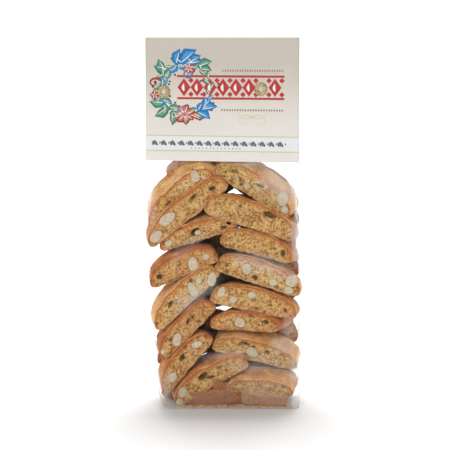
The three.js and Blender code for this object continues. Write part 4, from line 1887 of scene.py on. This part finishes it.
def backdrop():
    """A white floor that rises all round the bag in one sweep."""
    around = FLOOR_SIDES
    line = [(0.4, 0.0), (FLOOR_REACH, 0.0)]
    for step in range(1, SWEEP_STEPS + 1):
        angle = math.pi / 2 * step / SWEEP_STEPS
        out, up = SWEEP_RADIUS * math.sin(angle), SWEEP_RADIUS * (1 - math.cos(angle))
        line.append((FLOOR_REACH + out, up))
    line.append((FLOOR_REACH + SWEEP_RADIUS, WALL_TOP))
    points = [(0, 0, 0)]
    for reach, z in line:
        for step in range(around):
            angle = 2 * math.pi * step / around
            points.append((reach * math.cos(angle), reach * math.sin(angle), z))
    faces = [(0, 1 + step, 1 + (step + 1) % around) for step in range(around)]
    for ring in range(len(line) - 1):
        for step in range(around):
            a = 1 + ring * around + step
            b = 1 + ring * around + (step + 1) % around
            faces.append((a, a + around, b + around, b))
    floor = put("backdrop", mesh_from("backdrop", points, faces), backdrop_paint())


class BISCOTTI_OT_stage(bpy.types.Operator):
    """Set up the white room, its soft lights and the camera."""

    bl_idname = "biscotti.stage"
    bl_label = "Stage"

    def execute(self, context):
        look = settings().stage
        scene = bpy.context.scene
        backdrop()
        lamp("key", KEY_PLACE, KEY_AIM, KEY_SIZE, look.key)
        lamp("fill", FILL_PLACE, FILL_AIM, FILL_SIZE, look.fill)
        world = bpy.data.worlds.new("white room")
        world.use_nodes = True
        world.node_tree.nodes["Background"].inputs["Strength"].default_value = look.sky
        world.node_tree.nodes["Background"].inputs["Color"].default_value = (1, 1, 1, 1)
        scene.world = world
        scene.view_settings.view_transform = "Standard"
        camera = bpy.data.objects.new("camera", bpy.data.cameras.new("camera"))
        scene.collection.objects.link(camera)
        camera.data.sensor_width = 36
        camera.data.lens = look.lens
        camera.data.shift_y = look.rise
        aim = Vector((0, 0, look.aim))
        back = Vector((0, -math.cos(look.height), math.sin(look.height)))
        camera.location = aim + back * look.distance
        camera.rotation_euler = (-back).to_track_quat("-Z", "Y").to_euler()
        scene.camera = camera
        return {"FINISHED"}


class BISCOTTI_PT_bag(bpy.types.Panel):
    """Everything that makes the bag, in the order in which it is made."""

    bl_label = "Bag of biscotti"
    bl_idname = "BISCOTTI_PT_bag"
    bl_space_type = "VIEW_3D"
    bl_region_type = "UI"
    bl_category = "Biscotti"

    def draw(self, context):
        for operator in OPERATORS:
            self.layout.operator(operator.bl_idname)
        for group in SETTING_GROUPS:
            owner = getattr(settings(), group)
            box = self.layout.box()
            for name in owner.bl_rna.properties.keys():
                if name not in ("rna_type", "name"):
                    box.prop(owner, name)


OPERATORS = (
    BISCOTTI_OT_front_slices,
    BISCOTTI_OT_back_slices,
    BISCOTTI_OT_almonds,
    BISCOTTI_OT_crumbs,
    BISCOTTI_OT_film,
    BISCOTTI_OT_header_card,
    BISCOTTI_OT_card_print,
    BISCOTTI_OT_eyelets,
    BISCOTTI_OT_stage,
)
SETTING_GROUPS = ("biscuit", "card", "film", "stage")
CLASSES = (BiscuitLook, CardLook, FilmLook, StageLook, BagSettings, *OPERATORS, BISCOTTI_PT_bag)


def register():
    for one in CLASSES:
        bpy.utils.register_class(one)
    bpy.types.Scene.biscotti_bag = PointerProperty(type=BagSettings)


def unregister():
    del bpy.types.Scene.biscotti_bag
    for one in reversed(CLASSES):
        bpy.utils.unregister_class(one)


def main():
    register()
    bpy.ops.biscotti.front_slices()
    bpy.ops.biscotti.back_slices()
    bpy.ops.biscotti.almonds()
    bpy.ops.biscotti.crumbs()
    bpy.ops.biscotti.film()
    bpy.ops.biscotti.header_card()
    bpy.ops.biscotti.card_print()
    bpy.ops.biscotti.eyelets()
    bpy.ops.biscotti.stage()


if __name__ == "__main__":
    main()
